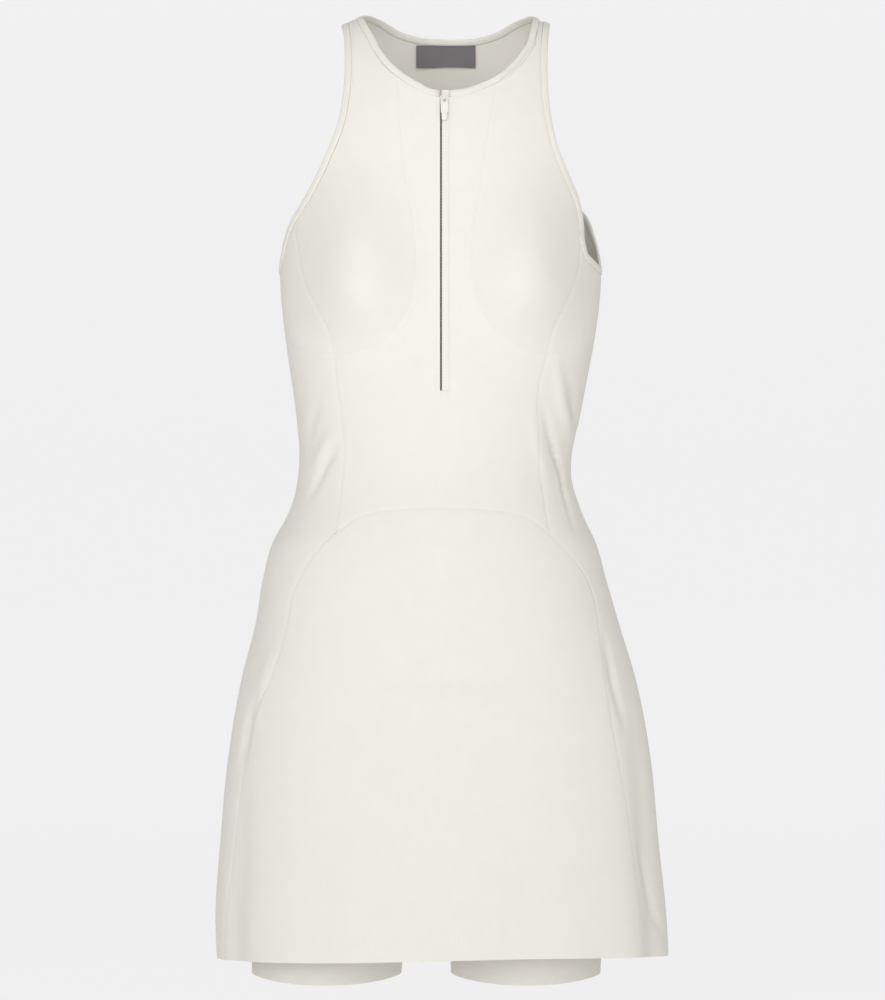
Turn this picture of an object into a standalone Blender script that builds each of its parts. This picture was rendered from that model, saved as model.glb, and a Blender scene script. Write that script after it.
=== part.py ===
"""Sleeveless half-zip minidress with inner shorts, in the hollow shape that it keeps when worn.

Lengths are in millimetres until a mesh is made. X runs to the right of the front view, the front
faces -Y, Z is up, and the origin lies between the two high shoulder points that carry the dress.

Every cloth piece lies on one surface, the figure. A place on it is a girth, in degrees round from the
centre front, and a lift, in millimetres up the cloth from the underarm line. Above that line the cloth
leans in over the shoulders, so that the front and the back meet on the shoulder line.
"""

import math

import bpy
import numpy as np
from mathutils.geometry import delaunay_2d_cdt

MM = 0.001

# Cloth and making
WALL = 1.4
SEAM_GAP = 0.3
BINDING_WIDTH = 6.2
BINDING_WALL = 2.4
BINDING_PROUD = 0.5
BINDING_ROWS = (0, 0.5, 0.94)

# Figure
UNDERARM = -228.0
ROUNDNESS = 2.2
SHOULDER_CENTRE = 4.0
SHOULDER_SLOPE = 0.5
SHOULDER_REACH = 84.1
SHOULDER_SOFTNESS = 40.0
BUST_OUT = 78.0
BUST_HEIGHT = -243.0
BUST_DEPTH = 27.0
BUST_INNER = 70.0
BUST_OUTER = 65.0
BUST_ABOVE = 120.0
BUST_BELOW = 62.0
GIRTH_MM = 2.4

# The front view that the outlines are drawn in
VIEW_DISTANCE = 5500.0
VIEW_HEIGHT = -431.0

# Seams that no front view shows
BACK_SEAM = 116.0
UNDERBUST_SIDE = ((-292.0, 90.0), (-289.0, BACK_SEAM))

# Half zip
SLOT_LEFT = -2.2
SLOT_RIGHT = 5.6
SLOT_END = -335.0
WELT_LEFT = -0.4
TAPE_HALF = 11.0
TAPE_WALL = 1.0
COIL_LEFT = -3.3
COIL_RIGHT = 0.7
COIL_WALL = 1.4
ZIP_END = -345.0
SLOT_ROWS = 18
ZIP_ROWS = 20

# Zip slider and pull tab, in the slider's own frame
SLIDER_TOP = -70.5
SLIDER_CENTRE = 1.6
SLIDER_WIDTH = 7.0
SLIDER_LENGTH = 11.5
SLIDER_WALL = 1.4
BRIDGE_WIDTH = 1.8
BRIDGE_WALL = 1.1
PULL_DROP = 3.4
PULL_RISE = 1.3
PULL_BAR = 1.2
PULL_WALL = 1.2
PULL_HOLE_WIDTH = 2.8
PULL_HOLE_LENGTH = 3.5
PULL_LENGTH = 20.6
PULL_WAIST = 13.2
RING_HALF = 2.6
PLATE_HALF = 3.2
END_HALF = 2.3
CUT_CORNER = 0.8
SLIDER_CORNER = 1.6
BRIDGE_CORNER = 0.7
JOIN_DEPTH = 0.5

# Label inside the back neck
LABEL_LEFT = -24.0
LABEL_RIGHT = 30.0
LABEL_DROP = 22.0
LABEL_WALL = 1.0

# Inner shorts
SHORTS_ROUNDNESS = 2.15
SHORTS_HEM_RISE = 6.0
CROTCH = -667.0
SHORTS_COLUMNS = 18

# Spacing of the points on a cloth piece: round the figure and up it
FINE = (15.0, 15.0)
BACK = (21.0, 34.0)
SKIRT = (20.0, 46.0)

# Least distance of the net's points from an edge, in spacings, and least spread of a mitred corner
NET_CLEARANCE = 0.52
SHARPEST_CORNER = 0.35

# height, half width, centre, front depth, back depth
FIGURE = (
    (-850, 201.3, 0.5, 128.5, 131.5),
    (-838, 201.1, 0.0, 128, 131),
    (-805, 200.7, -1.3, 124, 130),
    (-734, 194.9, -2.7, 115, 128),
    (-662, 188.2, -3.1, 108, 127),
    (-591, 175.3, -3.6, 102, 125),
    (-538, 160.6, -4.5, 98.5, 114),
    (-502, 152.6, -6.7, 96, 101),
    (-466, 142.4, -7.1, 92, 90),
    (-449, 133.5, -6.5, 89, 84),
    (-431, 126.4, -6.4, 85.5, 79),
    (-413, 121.9, -7.1, 83, 76.5),
    (-395, 121.0, -6.6, 82.5, 76),
    (-360, 125.5, -4.2, 83.5, 78),
    (-324, 131.3, -3.1, 85, 82),
    (-288, 137.5, -2.2, 86, 88),
    (-253, 141.8, -1.8, 86, 95),
    (-228, 143.2, -1.8, 86, 98),
    (-200, 143.2, -1.8, 86, 98),
)

# girth, spread, depth at the hem (outwards positive), height where the fold starts
SKIRT_FOLDS = (
    (68, 7, -5.0, -520),
    (54, 9, 3.0, -560),
    (-64, 7, -4.0, -580),
    (-42, 12, 2.5, -640),
    (-20, 11, 3.0, -600),
    (18, 13, -2.5, -620),
    (128, 10, -4.0, -560),
    (150, 12, 4.0, -600),
    (178, 12, -4.5, -570),
    (-152, 12, 4.5, -610),
    (-124, 10, -4.0, -550),
)

# girth, height of the skirt's hem
SKIRT_HEM = (
    (-180, -840),
    (-140, -839),
    (-90, -838),
    (-32, -835),
    (20, -831),
    (60, -833),
    (90, -836),
    (140, -839),
    (180, -840),
)

# x, height of the neck edge in front, from the zip to the shoulder
NECK_FRONT = {
    "right": ((22.3, -64), (45.0, -54.8), (56.5, -47), (68.0, -34.7), (77.0, -19.6)),
    "left": ((-12.5, -64), (-38.0, -48.5), (-51.6, -34.7), (-60.5, -19.6), (-68.5, -5.3)),
}
NECK_EDGE_TOP = -66.3
NECK_SHOULDER = {"right": 79.6, "left": -70.3}
NECK_CUP_ROW = {"right": 1, "left": 1}

# x, height of the neck edge behind, from the right shoulder to the left
NECK_BACK = ((54.3, -11.6), (32.0, -19.8), (6.0, -21.4), (-22.0, -19.0), (-42.7, -11.6))

# x, height of the armhole edge in front, from the shoulder down to the underarm
ARMHOLE_FRONT = {
    "right": (
        (93.8, -26.7),
        (93.6, -57),
        (96.5, -88),
        (103.5, -118),
        (114.8, -146),
        (122.2, -165),
        (125.6, -183),
        (126.8, -200),
        (130.5, -213),
    ),
    "left": (
        (-87.3, -26.7),
        (-87.8, -62),
        (-93.0, -94),
        (-103.2, -121),
        (-114.8, -146),
        (-125.5, -166),
        (-135.6, -183),
        (-141.3, -200),
        (-143.6, -213),
    ),
}
ARMHOLE_CUP_ROW = 6
ARMHOLE_SHOULDER = {"right": 95.4, "left": -90.0}
ARMHOLE_LIFT = 3.0

# distance from the middle, height of the armhole edge behind, from the underarm up to the shoulder
ARMHOLE_BACK = (
    (139.5, -212),
    (135.5, -196),
    (129.0, -179),
    (110.0, -163),
    (92.0, -145),
    (77.0, -120),
    (72.0, -95),
    (73.0, -68),
    (80.0, -40),
    (87.0, -20),
)
ARMHOLE_BACK_ROW = 2

# x, height down the seam between the front and a cup, from the neck to the side-cup seam
CUP_SEAM = {
    "right": (
        (42.7, -92.6),
        (37.0, -124),
        (34.5, -152),
        (28.5, -181),
        (25.8, -209),
        (26.4, -234),
        (31.2, -255),
        (40.0, -272.5),
        (52.5, -286),
        (71.0, -296),
    ),
    "left": (
        (-39.5, -88),
        (-36.5, -115),
        (-33.8, -148),
        (-27.0, -181),
        (-24.2, -212),
        (-24.9, -239),
        (-30.5, -261),
        (-41.0, -278),
        (-56.5, -292.5),
        (-77.0, -298.6),
    ),
}
UNDERBUST_CORNER = {"right": (93.5, -301.4), "left": (-97.0, -301.8)}

# x, height down the seam between a cup and the side, from the armhole
SIDE_CUP_SEAM = {
    "right": ((123.0, -206), (120.2, -230), (110.4, -255.4), (98.6, -281)),
    "left": ((-129.5, -206), (-123.5, -236), (-114.5, -256), (-101.8, -281)),
}

# x, height down the waist seam, from the underbust corner to the arched hip seam
WAIST_SEAM = {
    "right": ((87.0, -327), (85.0, -350), (86.0, -387), (89.0, -419), (92.5, -442)),
    "left": ((-94.5, -328), (-91.0, -352), (-88.0, -385), (-90.0, -415), (-92.8, -440)),
}
HIP_CORNER = {"right": (97.0, -462.5), "left": (-95.5, -461.5)}

# x, height across the arched hip seam, from the left corner to the right one
HIP_ARCH = ((-81, -449.6), (-65, -443), (-44, -439.6), (0, -438), (42, -439.6), (64, -443), (81, -449.6))

# x, height down the skirt seam, from the hip corner to the hem
SKIRT_SEAM = {
    "right": (
        (113.0, -479),
        (127.3, -498),
        (136.0, -520),
        (140.5, -552),
        (145.5, -594),
        (154.5, -652),
        (165.5, -716),
        (174.5, -778),
    ),
    "left": (
        (-111.5, -476),
        (-124.6, -497),
        (-134.4, -518),
        (-139.5, -547),
        (-151.5, -586),
        (-167.0, -622),
        (-179.8, -680),
        (-189.5, -760),
    ),
}
SKIRT_SEAM_HEM = {"right": 181.6, "left": -195.8}

# height, middle, leg centre from the middle, leg half width, front depth, back depth
SHORTS = (
    (-857, -14.5, 88.5, 66.5, 80, 78),
    (-800, -13.5, 87.5, 69, 78, 80),
    (-720, -12, 84.5, 75, 80, 87),
    (-667, -11, 81, 80.6, 85, 96),
    (-640, -10, 66, 93, 88, 101),
    (-591, -8, 38, 118, 92, 107),
    (-538, -6.2, 13, 139.5, 94.5, 107.5),
    (-502, -6.9, 3, 145, 92.6, 97),
    (-466, -7.1, 0, 138.4, 89, 86.8),
    (-443, -6.5, 0, 127.9, 85.2, 79.8),
)
SHORTS_TOP = -443.0

# material, colour, roughness, metallic
FINISHES = {
    "cloth": ((0.875, 0.85, 0.795, 1.0), 0.85, 0.0),
    "binding": ((0.865, 0.84, 0.785, 1.0), 0.8, 0.0),
    "zip": ((0.82, 0.8, 0.74, 1.0), 0.45, 0.0),
    "label": ((0.07, 0.07, 0.075, 1.0), 0.8, 0.0),
}


def table_value(table, column, at):
    """A column of a table as a smooth curve over its first column."""
    knots = np.array([row[0] for row in table], float)
    values = np.array([row[column] for row in table], float)
    slopes = np.gradient(values, knots)
    at = np.clip(np.asarray(at, float), knots[0], knots[-1])
    row = np.clip(np.searchsorted(knots, at, side="right") - 1, 0, len(knots) - 2)
    width = knots[row + 1] - knots[row]
    part = (at - knots[row]) / width
    rest = 1 - part
    return (
        values[row] * rest * rest * (1 + 2 * part)
        + values[row + 1] * part * part * (3 - 2 * part)
        + width * (slopes[row] * part * rest * rest - slopes[row + 1] * part * part * rest)
    )


def power(value, roundness=ROUNDNESS):
    """A sine or cosine bent so that the section is a little squarer than an ellipse."""
    return np.sign(value) * np.abs(value) ** (2 / roundness)


def section(height):
    """Half width, centre, front depth and back depth of the figure at a height."""
    held = np.minimum(height, UNDERARM)
    return [table_value(FIGURE, column, held) for column in (1, 2, 3, 4)]


def shoulder_height(x):
    across = np.hypot(x - SHOULDER_CENTRE, SHOULDER_SOFTNESS)
    return SHOULDER_SLOPE * (SHOULDER_REACH - across)


def bust(x, z):
    """How far the cups stand forward of the figure."""
    total = np.zeros(np.shape(x))
    for side in (-1, 1):
        out = side * x - BUST_OUT
        up = z - BUST_HEIGHT
        wide = np.where(out < 0, BUST_INNER, BUST_OUTER)
        tall = np.where(up > 0, BUST_ABOVE, BUST_BELOW)
        away = np.minimum(np.hypot(out / wide, up / tall), 1)
        total = total + BUST_DEPTH * np.cos(away * math.pi / 2) ** 2
    return total


def fold_depth(girth, height):
    """How far the skirt's folds stand out at a place."""
    total = np.zeros(np.shape(girth))
    hem = SKIRT_HEM[0][1]
    for middle, spread, depth, top in SKIRT_FOLDS:
        away = (girth - middle + 180) % 360 - 180
        grown = np.clip((top - height) / (top - hem), 0, 1)
        total = total + depth * np.exp(-((away / spread) ** 2)) * grown * grown * (3 - 2 * grown)
    return total


def figure_point(places):
    """Points of the figure at places of girth and lift."""
    girth, lift = places[..., 0], places[..., 1]
    turn = np.radians(girth)
    low = UNDERARM + np.minimum(lift, 0)
    half, centre, front, back = section(low)
    x = centre + half * power(np.sin(turn))
    rise = shoulder_height(x) - UNDERARM
    lean = np.maximum(lift, 0) / rise
    z = low + rise * np.sin(lean)
    reach = power(np.cos(turn)) * np.cos(lean)
    y = -np.where(reach > 0, front, back) * reach
    y = y - bust(x, z) * (reach > 0)
    fold = fold_depth(girth, low)
    x = x + fold * np.sin(turn)
    y = y - fold * np.cos(turn)
    return np.stack((x, y, z), axis=-1)


def place_at(x, height, behind=False):
    """The place of a point of the figure that is given by its x and its height."""
    half, centre, _, _ = section(height)
    across = np.clip((x - centre) / half, -1, 1)
    girth = np.degrees(np.arcsin(np.sign(across) * np.abs(across) ** (ROUNDNESS / 2)))
    rise = shoulder_height(x) - UNDERARM
    up = np.clip((height - UNDERARM) / rise, 0, 1)
    lift = rise * np.arcsin(up) if height > UNDERARM else height - UNDERARM
    if behind:
        girth = math.copysign(180, x) - girth
    return np.array((girth, lift), float)


def seen_at(x, height, behind=False):
    """The place that the front view shows at x and a height: what is nearer looks larger."""
    scale = 1.0
    for _ in range(4):
        true_height = VIEW_HEIGHT + (height - VIEW_HEIGHT) * scale
        place = place_at(x * scale, true_height, behind)
        scale = 1 + figure_point(place)[1] / VIEW_DISTANCE
    return place


def shoulder_top(girth):
    """The lift of the shoulder line at a girth."""
    half, centre, _, _ = section(UNDERARM)
    x = centre + half * power(np.sin(np.radians(girth)))
    return (shoulder_height(x) - UNDERARM) * math.pi / 2


def shoulder_place(x):
    girth = place_at(x, UNDERARM)[0]
    return np.array((girth, shoulder_top(girth)))


def turned_over(place):
    """The same point counted from the other side of the shoulder line."""
    girth, lift = place
    return np.array((math.copysign(180, girth) - girth, 2 * shoulder_top(girth) - lift))


def beside(place, other):
    """A place counted so that it runs on smoothly from another one over the shoulder or round the side."""
    across = (abs(place[0]) > 90) != (abs(other[0]) > 90)
    high = min(place[1], other[1]) > shoulder_top(other[0]) / 3
    moved = turned_over(place) if across and high else place
    shift = 360 * round((other[0] - moved[0]) / 360)
    return np.array((moved[0] + shift, moved[1]))


def counted_below(place):
    """A place with its lift at or under the shoulder line."""
    over = place[1] > shoulder_top(place[0]) + 1e-6
    return turned_over(place) if over else place


def smooth_curve(knots, spacing, closed=False):
    """Places along a smooth curve through knots, and the index of each knot among them."""
    total = len(knots)
    across, along = spacing
    places = []
    marks = []
    for start in range(total if closed else total - 1):
        picked = [knots[(start + step) % total] for step in (-1, 0, 1, 2)]
        if not closed and start == 0:
            picked[0] = None
        if not closed and start == total - 2:
            picked[3] = None
        here = picked[1]
        near = [None if knot is None else beside(knot, here) for knot in picked]
        if near[0] is None:
            near[0] = 2 * near[1] - near[2]
        if near[3] is None:
            near[3] = 2 * near[2] - near[1]
        lengths = [math.hypot((b[0] - a[0]) * GIRTH_MM, b[1] - a[1]) for a, b in zip(near, near[1:])]
        span = lengths[1]
        leave = (near[2] - near[0]) / (lengths[0] + span) * span
        arrive = (near[3] - near[1]) / (lengths[2] + span) * span
        step = near[2] - near[1]
        count = max(1, math.ceil(math.hypot(step[0] * GIRTH_MM / across, step[1] / along) - 0.2))
        marks.append(len(places))
        for part in np.arange(count) / count:
            rest = 1 - part
            place = (
                near[1] * rest * rest * (1 + 2 * part)
                + near[2] * part * part * (3 - 2 * part)
                + leave * part * rest * rest
                - arrive * part * part * rest
            )
            places.append(counted_below(place))
    if not closed:
        marks.append(len(places))
        places.append(knots[-1])
    return np.array(places), marks


def axes_at(surface, places):
    """The two directions of a surface at places: per degree round it and per millimetre up it."""
    step = 0.1
    round_step = np.array((step, 0.0))
    up_step = np.array((0.0, step))
    round_way = (surface(places + round_step) - surface(places - round_step)) / (2 * step)
    up_way = (surface(places + up_step) - surface(places - up_step)) / (2 * step)
    return round_way, up_way


def outward(surface, places):
    round_way, up_way = axes_at(surface, places)
    normal = np.cross(round_way, up_way)
    return normal / np.linalg.norm(normal, axis=-1, keepdims=True)


def slid(places, direction, distance):
    """Places moved over the figure by a distance along a direction in space."""
    round_way, up_way = axes_at(figure_point, places)
    aa = (round_way * round_way).sum(-1)
    ab = (round_way * up_way).sum(-1)
    bb = (up_way * up_way).sum(-1)
    da = (round_way * direction).sum(-1)
    db = (up_way * direction).sum(-1)
    scale = distance / (aa * bb - ab * ab)
    return places + np.stack(((bb * da - ab * db) * scale, (aa * db - ab * da) * scale), axis=-1)


def unit(vectors):
    return vectors / np.maximum(np.linalg.norm(vectors, axis=-1, keepdims=True), 1e-9)


def moved_inside(places, distance, closed):
    """A curve moved to its left over the figure, with its corners kept."""
    points = figure_point(places)
    after = unit(np.roll(points, -1, axis=0) - points)
    before = unit(points - np.roll(points, 1, axis=0))
    if not closed:
        after[-1] = before[-1]
        before[0] = after[0]
    normal = outward(figure_point, places)
    left_before = np.cross(normal, before)
    left_after = np.cross(normal, after)
    spread = np.maximum(1 + (left_before * left_after).sum(-1, keepdims=True), SHARPEST_CORNER)
    return slid(places, (left_before + left_after) / spread, distance)


def band(edge, seam_line):
    """Rows of places from an edge to just short of the seam beside it."""
    rows = []
    for share in BINDING_ROWS:
        steps = [place + (beside(other, place) - place) * share for place, other in zip(edge, seam_line)]
        rows.append(np.array(steps))
    return rows


def joined(curves):
    """One closed outline from curves that follow each other, counted on from the first place."""
    outline = [curves[0][0]]
    for curve in curves:
        for place in curve:
            turn = 360 * round((outline[-1][0] - place[0]) / 360)
            place = place + np.array((turn, 0.0))
            if np.abs(place - outline[-1]).max() > 1e-6:
                outline.append(place)
    if np.abs(outline[-1] - outline[0]).max() < 1e-6:
        outline.pop()
    return np.array(outline)


def is_inside(spot, outline):
    """Whether a spot lies inside a closed outline."""
    ends = np.roll(outline, -1, axis=0)
    run = ends - outline
    crosses = (outline[:, 1] > spot[1]) != (ends[:, 1] > spot[1])
    slope = run[:, 0] / np.where(run[:, 1] == 0, 1, run[:, 1])
    reach = outline[:, 0] + (spot[1] - outline[:, 1]) * slope
    return (crosses & (spot[0] < reach)).sum() % 2 == 1


def distance_to(spot, outline):
    """How far a spot is from the nearest edge of a closed outline."""
    run = np.roll(outline, -1, axis=0) - outline
    away = spot - outline
    along = np.clip((away * run).sum(-1) / (run * run).sum(-1), 0, 1)
    return np.linalg.norm(away - along[:, None] * run, axis=-1).min()


def inner_places(outline):
    """A staggered net of places one unit apart inside an outline, clear of its edge."""
    lowest = outline.min(axis=0)
    highest = outline.max(axis=0)
    row_step = math.sqrt(3) / 2
    found = []
    for row in range(int((highest[1] - lowest[1]) / row_step) + 1):
        up = lowest[1] + (row + 0.5) * row_step
        for column in range(int(highest[0] - lowest[0]) + 2):
            spot = np.array((lowest[0] + column + 0.5 * (row % 2), up))
            if is_inside(spot, outline) and distance_to(spot, outline) > NET_CLEARANCE:
                found.append(spot)
    return found


def filled(outline, spots=(), hole=()):
    """Corners and triangles that fill an outline round the spots inside it, but not its hole."""
    rings = [ring for ring in (outline, hole) if len(ring)]
    edges = []
    start = 0
    for ring in rings:
        edges += [(start + step, start + (step + 1) % len(ring)) for step in range(len(ring))]
        start += len(ring)
    given = [tuple(corner) for ring in rings for corner in ring] + [tuple(spot) for spot in spots]
    corners, _, triangles, *_ = delaunay_2d_cdt(given, edges, [], 0, 1e-6, False)
    corners = np.array([tuple(corner) for corner in corners])
    faces = []
    for triangle in triangles:
        centre = corners[list(triangle)].mean(axis=0)
        kept = is_inside(centre, np.asarray(outline)) and not (len(hole) and is_inside(centre, np.asarray(hole)))
        if kept:
            faces.append(tuple(triangle))
    return corners, faces


def finish(name):
    colour, roughness, metallic = FINISHES[name]
    material = bpy.data.materials.new(name)
    material.use_nodes = True
    shader = material.node_tree.nodes["Principled BSDF"]
    shader.inputs["Base Color"].default_value = colour
    shader.inputs["Roughness"].default_value = roughness
    shader.inputs["Metallic"].default_value = metallic
    return material


def add_object(name, points, faces, material):
    """A mesh object from points in millimetres."""
    mesh = bpy.data.meshes.new(name)
    mesh.from_pydata([tuple(point) for point in np.asarray(points) * MM], [], faces)
    mesh.materials.append(finish(material))
    mesh.validate()
    mesh.shade_smooth()
    mesh.set_sharp_from_angle(angle=math.radians(40))
    made = bpy.data.objects.new(name, mesh)
    bpy.context.scene.collection.objects.link(made)
    return made


def add_cloth(name, surface, places, faces, material, wall=WALL, proud=0.0):
    """A closed wall of cloth over faces of a surface, its outside standing proud of it."""
    points = surface(places)
    normal = outward(surface, places)
    outer = points + normal * proud
    inner = points + normal * (np.asarray(proud) - wall)
    total = len(places)
    edges = {}
    for face in faces:
        for start, end in zip(face, (*face[1:], face[0])):
            edges[(start, end)] = (end, start) not in edges
            if not edges[(start, end)]:
                del edges[(start, end)]
                del edges[(end, start)]
    walls = [(end, start, start + total, end + total) for start, end in edges]
    insides = [tuple(total + corner for corner in reversed(face)) for face in faces]
    return add_object(name, np.concatenate((outer, inner)), [*faces, *insides, *walls], material)


def add_panel(name, curves, spacing):
    """A cut piece of cloth: the outline made of seam curves, filled with a net of triangles."""
    outline = joined(curves)
    after = np.roll(outline, -1, axis=0)
    if (outline[:, 0] * after[:, 1] - after[:, 0] * outline[:, 1]).sum() < 0:
        outline = outline[::-1]
    outline = moved_inside(outline, SEAM_GAP / 2, closed=True)
    scale = np.array((GIRTH_MM / spacing[0], 1 / spacing[1]))
    flat = outline * scale
    corners, faces = filled(flat, inner_places(flat))
    return add_cloth(name, figure_point, corners / scale, faces, "cloth")


def grid_faces(rows, columns, closed=False):
    """Faces of a grid of points, row by row, each turned outwards."""
    faces = []
    for row in range(rows - 1):
        for column in range(columns if closed else columns - 1):
            after = (column + 1) % columns
            low, high = row * columns, (row + 1) * columns
            faces.append((low + column, low + after, high + after, high + column))
    return faces


def add_strip(name, rows, material, wall, proud, closed=False):
    """A strip of cloth over rows of places on the figure."""
    faces = grid_faces(len(rows), len(rows[0]), closed)
    return add_cloth(name, figure_point, np.concatenate(rows), faces, material, wall, proud)


def neck_edge():
    """The finished neck edge, from the right side of the zip round the back to its left side."""
    knots = [seen_at(SLOT_RIGHT, NECK_EDGE_TOP)]
    knots += [seen_at(x, z) for x, z in NECK_FRONT["right"]]
    knots.append(shoulder_place(NECK_SHOULDER["right"]))
    knots += [seen_at(x, z, behind=True) for x, z in NECK_BACK]
    knots.append(shoulder_place(NECK_SHOULDER["left"]))
    knots += [seen_at(x, z) for x, z in reversed(NECK_FRONT["left"])]
    knots.append(seen_at(SLOT_LEFT, NECK_EDGE_TOP))
    return knots


def armhole_edge(side):
    """The finished armhole edge, from the shoulder down in front and up behind."""
    sign = 1 if side == "right" else -1
    knots = [shoulder_place(ARMHOLE_SHOULDER[side])]
    knots += [seen_at(x, z) for x, z in ARMHOLE_FRONT[side]]
    knots.append(np.array((90.0 * sign, ARMHOLE_LIFT)))
    knots += [seen_at(sign * out, z, behind=True) for out, z in ARMHOLE_BACK]
    return knots


def seam(start, rows, end, spacing):
    """A seam from one place to another through the points that the front view gives."""
    knots = [start, *(seen_at(x, z) for x, z in rows), end]
    return smooth_curve(knots, spacing)[0]


def hem_places(girths):
    """Places on the skirt's hem at girths counted either way round."""
    turned = (np.asarray(girths) + 180) % 360 - 180
    return np.stack((girths, table_value(SKIRT_HEM, 1, turned) - UNDERARM), axis=-1)


def build_bodice(curves):
    """The bodice: front, cups and sides, each cut to its seams."""
    right, left = curves["right"], curves["left"]
    slot = np.array(
        [place_at(SLOT_LEFT, height) for height in np.linspace(curves["slot_top"], SLOT_END, SLOT_ROWS)]
        + [place_at(SLOT_RIGHT, height) for height in np.linspace(SLOT_END, curves["slot_top"], SLOT_ROWS)]
    )
    front = [
        right["neck_front"],
        right["cup"],
        right["waist"],
        curves["arch"][::-1],
        left["waist"][::-1],
        left["cup"][::-1],
        left["neck_front"],
        slot,
    ]
    add_panel("front_bodice", front, FINE)
    for side, made in (("right", right), ("left", left)):
        cup = [made["neck_side"], made["armhole_front"], made["side_cup"], made["cup"][::-1]]
        gusset = [made["side_cup"], made["underbust"], made["back_top"][::-1], made["armhole_under"]]
        panel = [made["waist"], made["skirt"], made["hem_side"], made["back_low"][::-1], made["underbust"][::-1]]
        add_panel(f"cup_{side}", cup, FINE)
        add_panel(f"side_bust_{side}", gusset, FINE)
        add_panel(f"side_panel_{side}", panel, SKIRT)


def cut_curves():
    """Every seam and edge of the dress, as curves of places that neighbouring pieces share."""
    neck, neck_marks = smooth_curve(neck_edge(), FINE)
    neck_seam = moved_inside(neck, -BINDING_WIDTH, closed=False)
    rows = {side: len(NECK_FRONT[side]) for side in NECK_FRONT}
    last = len(neck_marks) - 1
    neck_cup = {"right": neck_marks[1 + NECK_CUP_ROW["right"]], "left": neck_marks[last - 1 - NECK_CUP_ROW["left"]]}
    neck_shoulder = {
        "right": neck_marks[1 + rows["right"]],
        "left": neck_marks[last - 1 - rows["left"]],
    }
    curves = {"neck": neck, "neck_seam": neck_seam}
    hem_ends = {}
    for side, sign in (("right", 1), ("left", -1)):
        made = {}
        hole, marks = smooth_curve(armhole_edge(side), FINE, closed=True)
        hole_seam = moved_inside(hole, -sign * BINDING_WIDTH, closed=True)
        hole_seam[0][1] = shoulder_top(hole_seam[0][0])
        shoulder = neck_shoulder[side]
        neck_seam[shoulder][1] = shoulder_top(neck_seam[shoulder][0])
        cup_top = neck_cup[side]
        cup_side = marks[1 + ARMHOLE_CUP_ROW]
        back_side = marks[2 + len(ARMHOLE_FRONT[side]) + ARMHOLE_BACK_ROW]
        corner = seen_at(*UNDERBUST_CORNER[side])
        hip = seen_at(*HIP_CORNER[side])
        hem_end = hem_places([seen_at(SKIRT_SEAM_HEM[side], SKIRT_HEM[0][1])[0]])[0]
        hem_ends[side] = hem_end
        back_hem = hem_places([sign * BACK_SEAM])[0]
        underbust = [np.array((sign * girth, height - UNDERARM)) for height, girth in UNDERBUST_SIDE]
        side_seam = [underbust[-1] + (hole_seam[back_side] - underbust[-1]) * part for part in (0.5,)]
        made["armhole"] = hole
        made["armhole_seam"] = hole_seam
        made["armhole_front"] = hole_seam[: cup_side + 1]
        made["armhole_under"] = hole_seam[cup_side : back_side + 1][::-1]
        made["armhole_back"] = np.concatenate((hole_seam[back_side:], hole_seam[:1]))
        if side == "right":
            made["neck_front"] = neck_seam[: cup_top + 1]
            made["neck_side"] = neck_seam[cup_top : shoulder + 1]
        else:
            made["neck_front"] = neck_seam[cup_top:]
            made["neck_side"] = neck_seam[shoulder : cup_top + 1][::-1]
        made["cup"] = seam(neck_seam[cup_top], CUP_SEAM[side], corner, FINE)
        made["side_cup"] = seam(hole_seam[cup_side], SIDE_CUP_SEAM[side], corner, FINE)
        made["waist"] = seam(corner, WAIST_SEAM[side], hip, FINE)
        made["skirt"] = seam(hip, SKIRT_SEAM[side], hem_end, (FINE[0], 30.0))
        made["underbust"] = smooth_curve([corner, *underbust], FINE)[0]
        made["back_top"] = smooth_curve([hole_seam[back_side], *side_seam, underbust[-1]], FINE)[0]
        steps = [underbust[-1] + (back_hem - underbust[-1]) * part for part in np.linspace(0, 1, 17)]
        made["back_low"] = np.array(steps)
        made["hem_side"] = hem_places(np.linspace(hem_end[0], back_hem[0], 5))
        curves[side] = made
    curves["neck_back"] = neck_seam[neck_shoulder["right"] : neck_shoulder["left"] + 1]
    arch = [seen_at(*HIP_CORNER["left"]), *(seen_at(x, z) for x, z in HIP_ARCH), seen_at(*HIP_CORNER["right"])]
    curves["arch"] = smooth_curve(arch, FINE)[0]
    curves["hem_front"] = hem_places(np.linspace(hem_ends["left"][0], hem_ends["right"][0], 20))
    curves["slot_top"] = figure_point(neck_seam[-1])[2]
    return curves


def build_skirt_and_back(curves):
    right, left = curves["right"], curves["left"]
    front = [curves["arch"], right["skirt"], curves["hem_front"][::-1], left["skirt"][::-1]]
    add_panel("skirt_front", front, SKIRT)
    hem = hem_places(np.linspace(BACK_SEAM, 360 - BACK_SEAM, 20))
    back = [
        right["armhole_back"],
        curves["neck_back"],
        left["armhole_back"][::-1],
        left["back_top"],
        left["back_low"],
        hem[::-1],
        right["back_low"][::-1],
        right["back_top"][::-1],
    ]
    behind = [np.array([behind_shoulder(place) for place in curve]) for curve in back]
    add_panel("back", behind, BACK)


def behind_shoulder(place):
    """A place counted on the back of the figure."""
    return turned_over(place) if abs(place[0]) < 90 else place


def build_bindings(curves):
    """The bound neck and armholes: doubled strips that carry the edges over the shoulders."""
    wall, proud = BINDING_WALL, BINDING_PROUD
    neck = band(curves["neck"], curves["neck_seam"])
    add_strip("neck_binding", neck[::-1], "binding", wall, proud)
    for side in ("right", "left"):
        rows = band(curves[side]["armhole"], curves[side]["armhole_seam"])
        if side == "right":
            rows = rows[::-1]
        add_strip(f"armhole_binding_{side}", rows, "binding", wall, proud, closed=True)


def strip_rows(across, top, bottom):
    """Rows of places up an upright strip, each with the same x values."""
    return [np.array([place_at(x, height) for x in across]) for height in np.linspace(bottom, top, ZIP_ROWS)]


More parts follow.
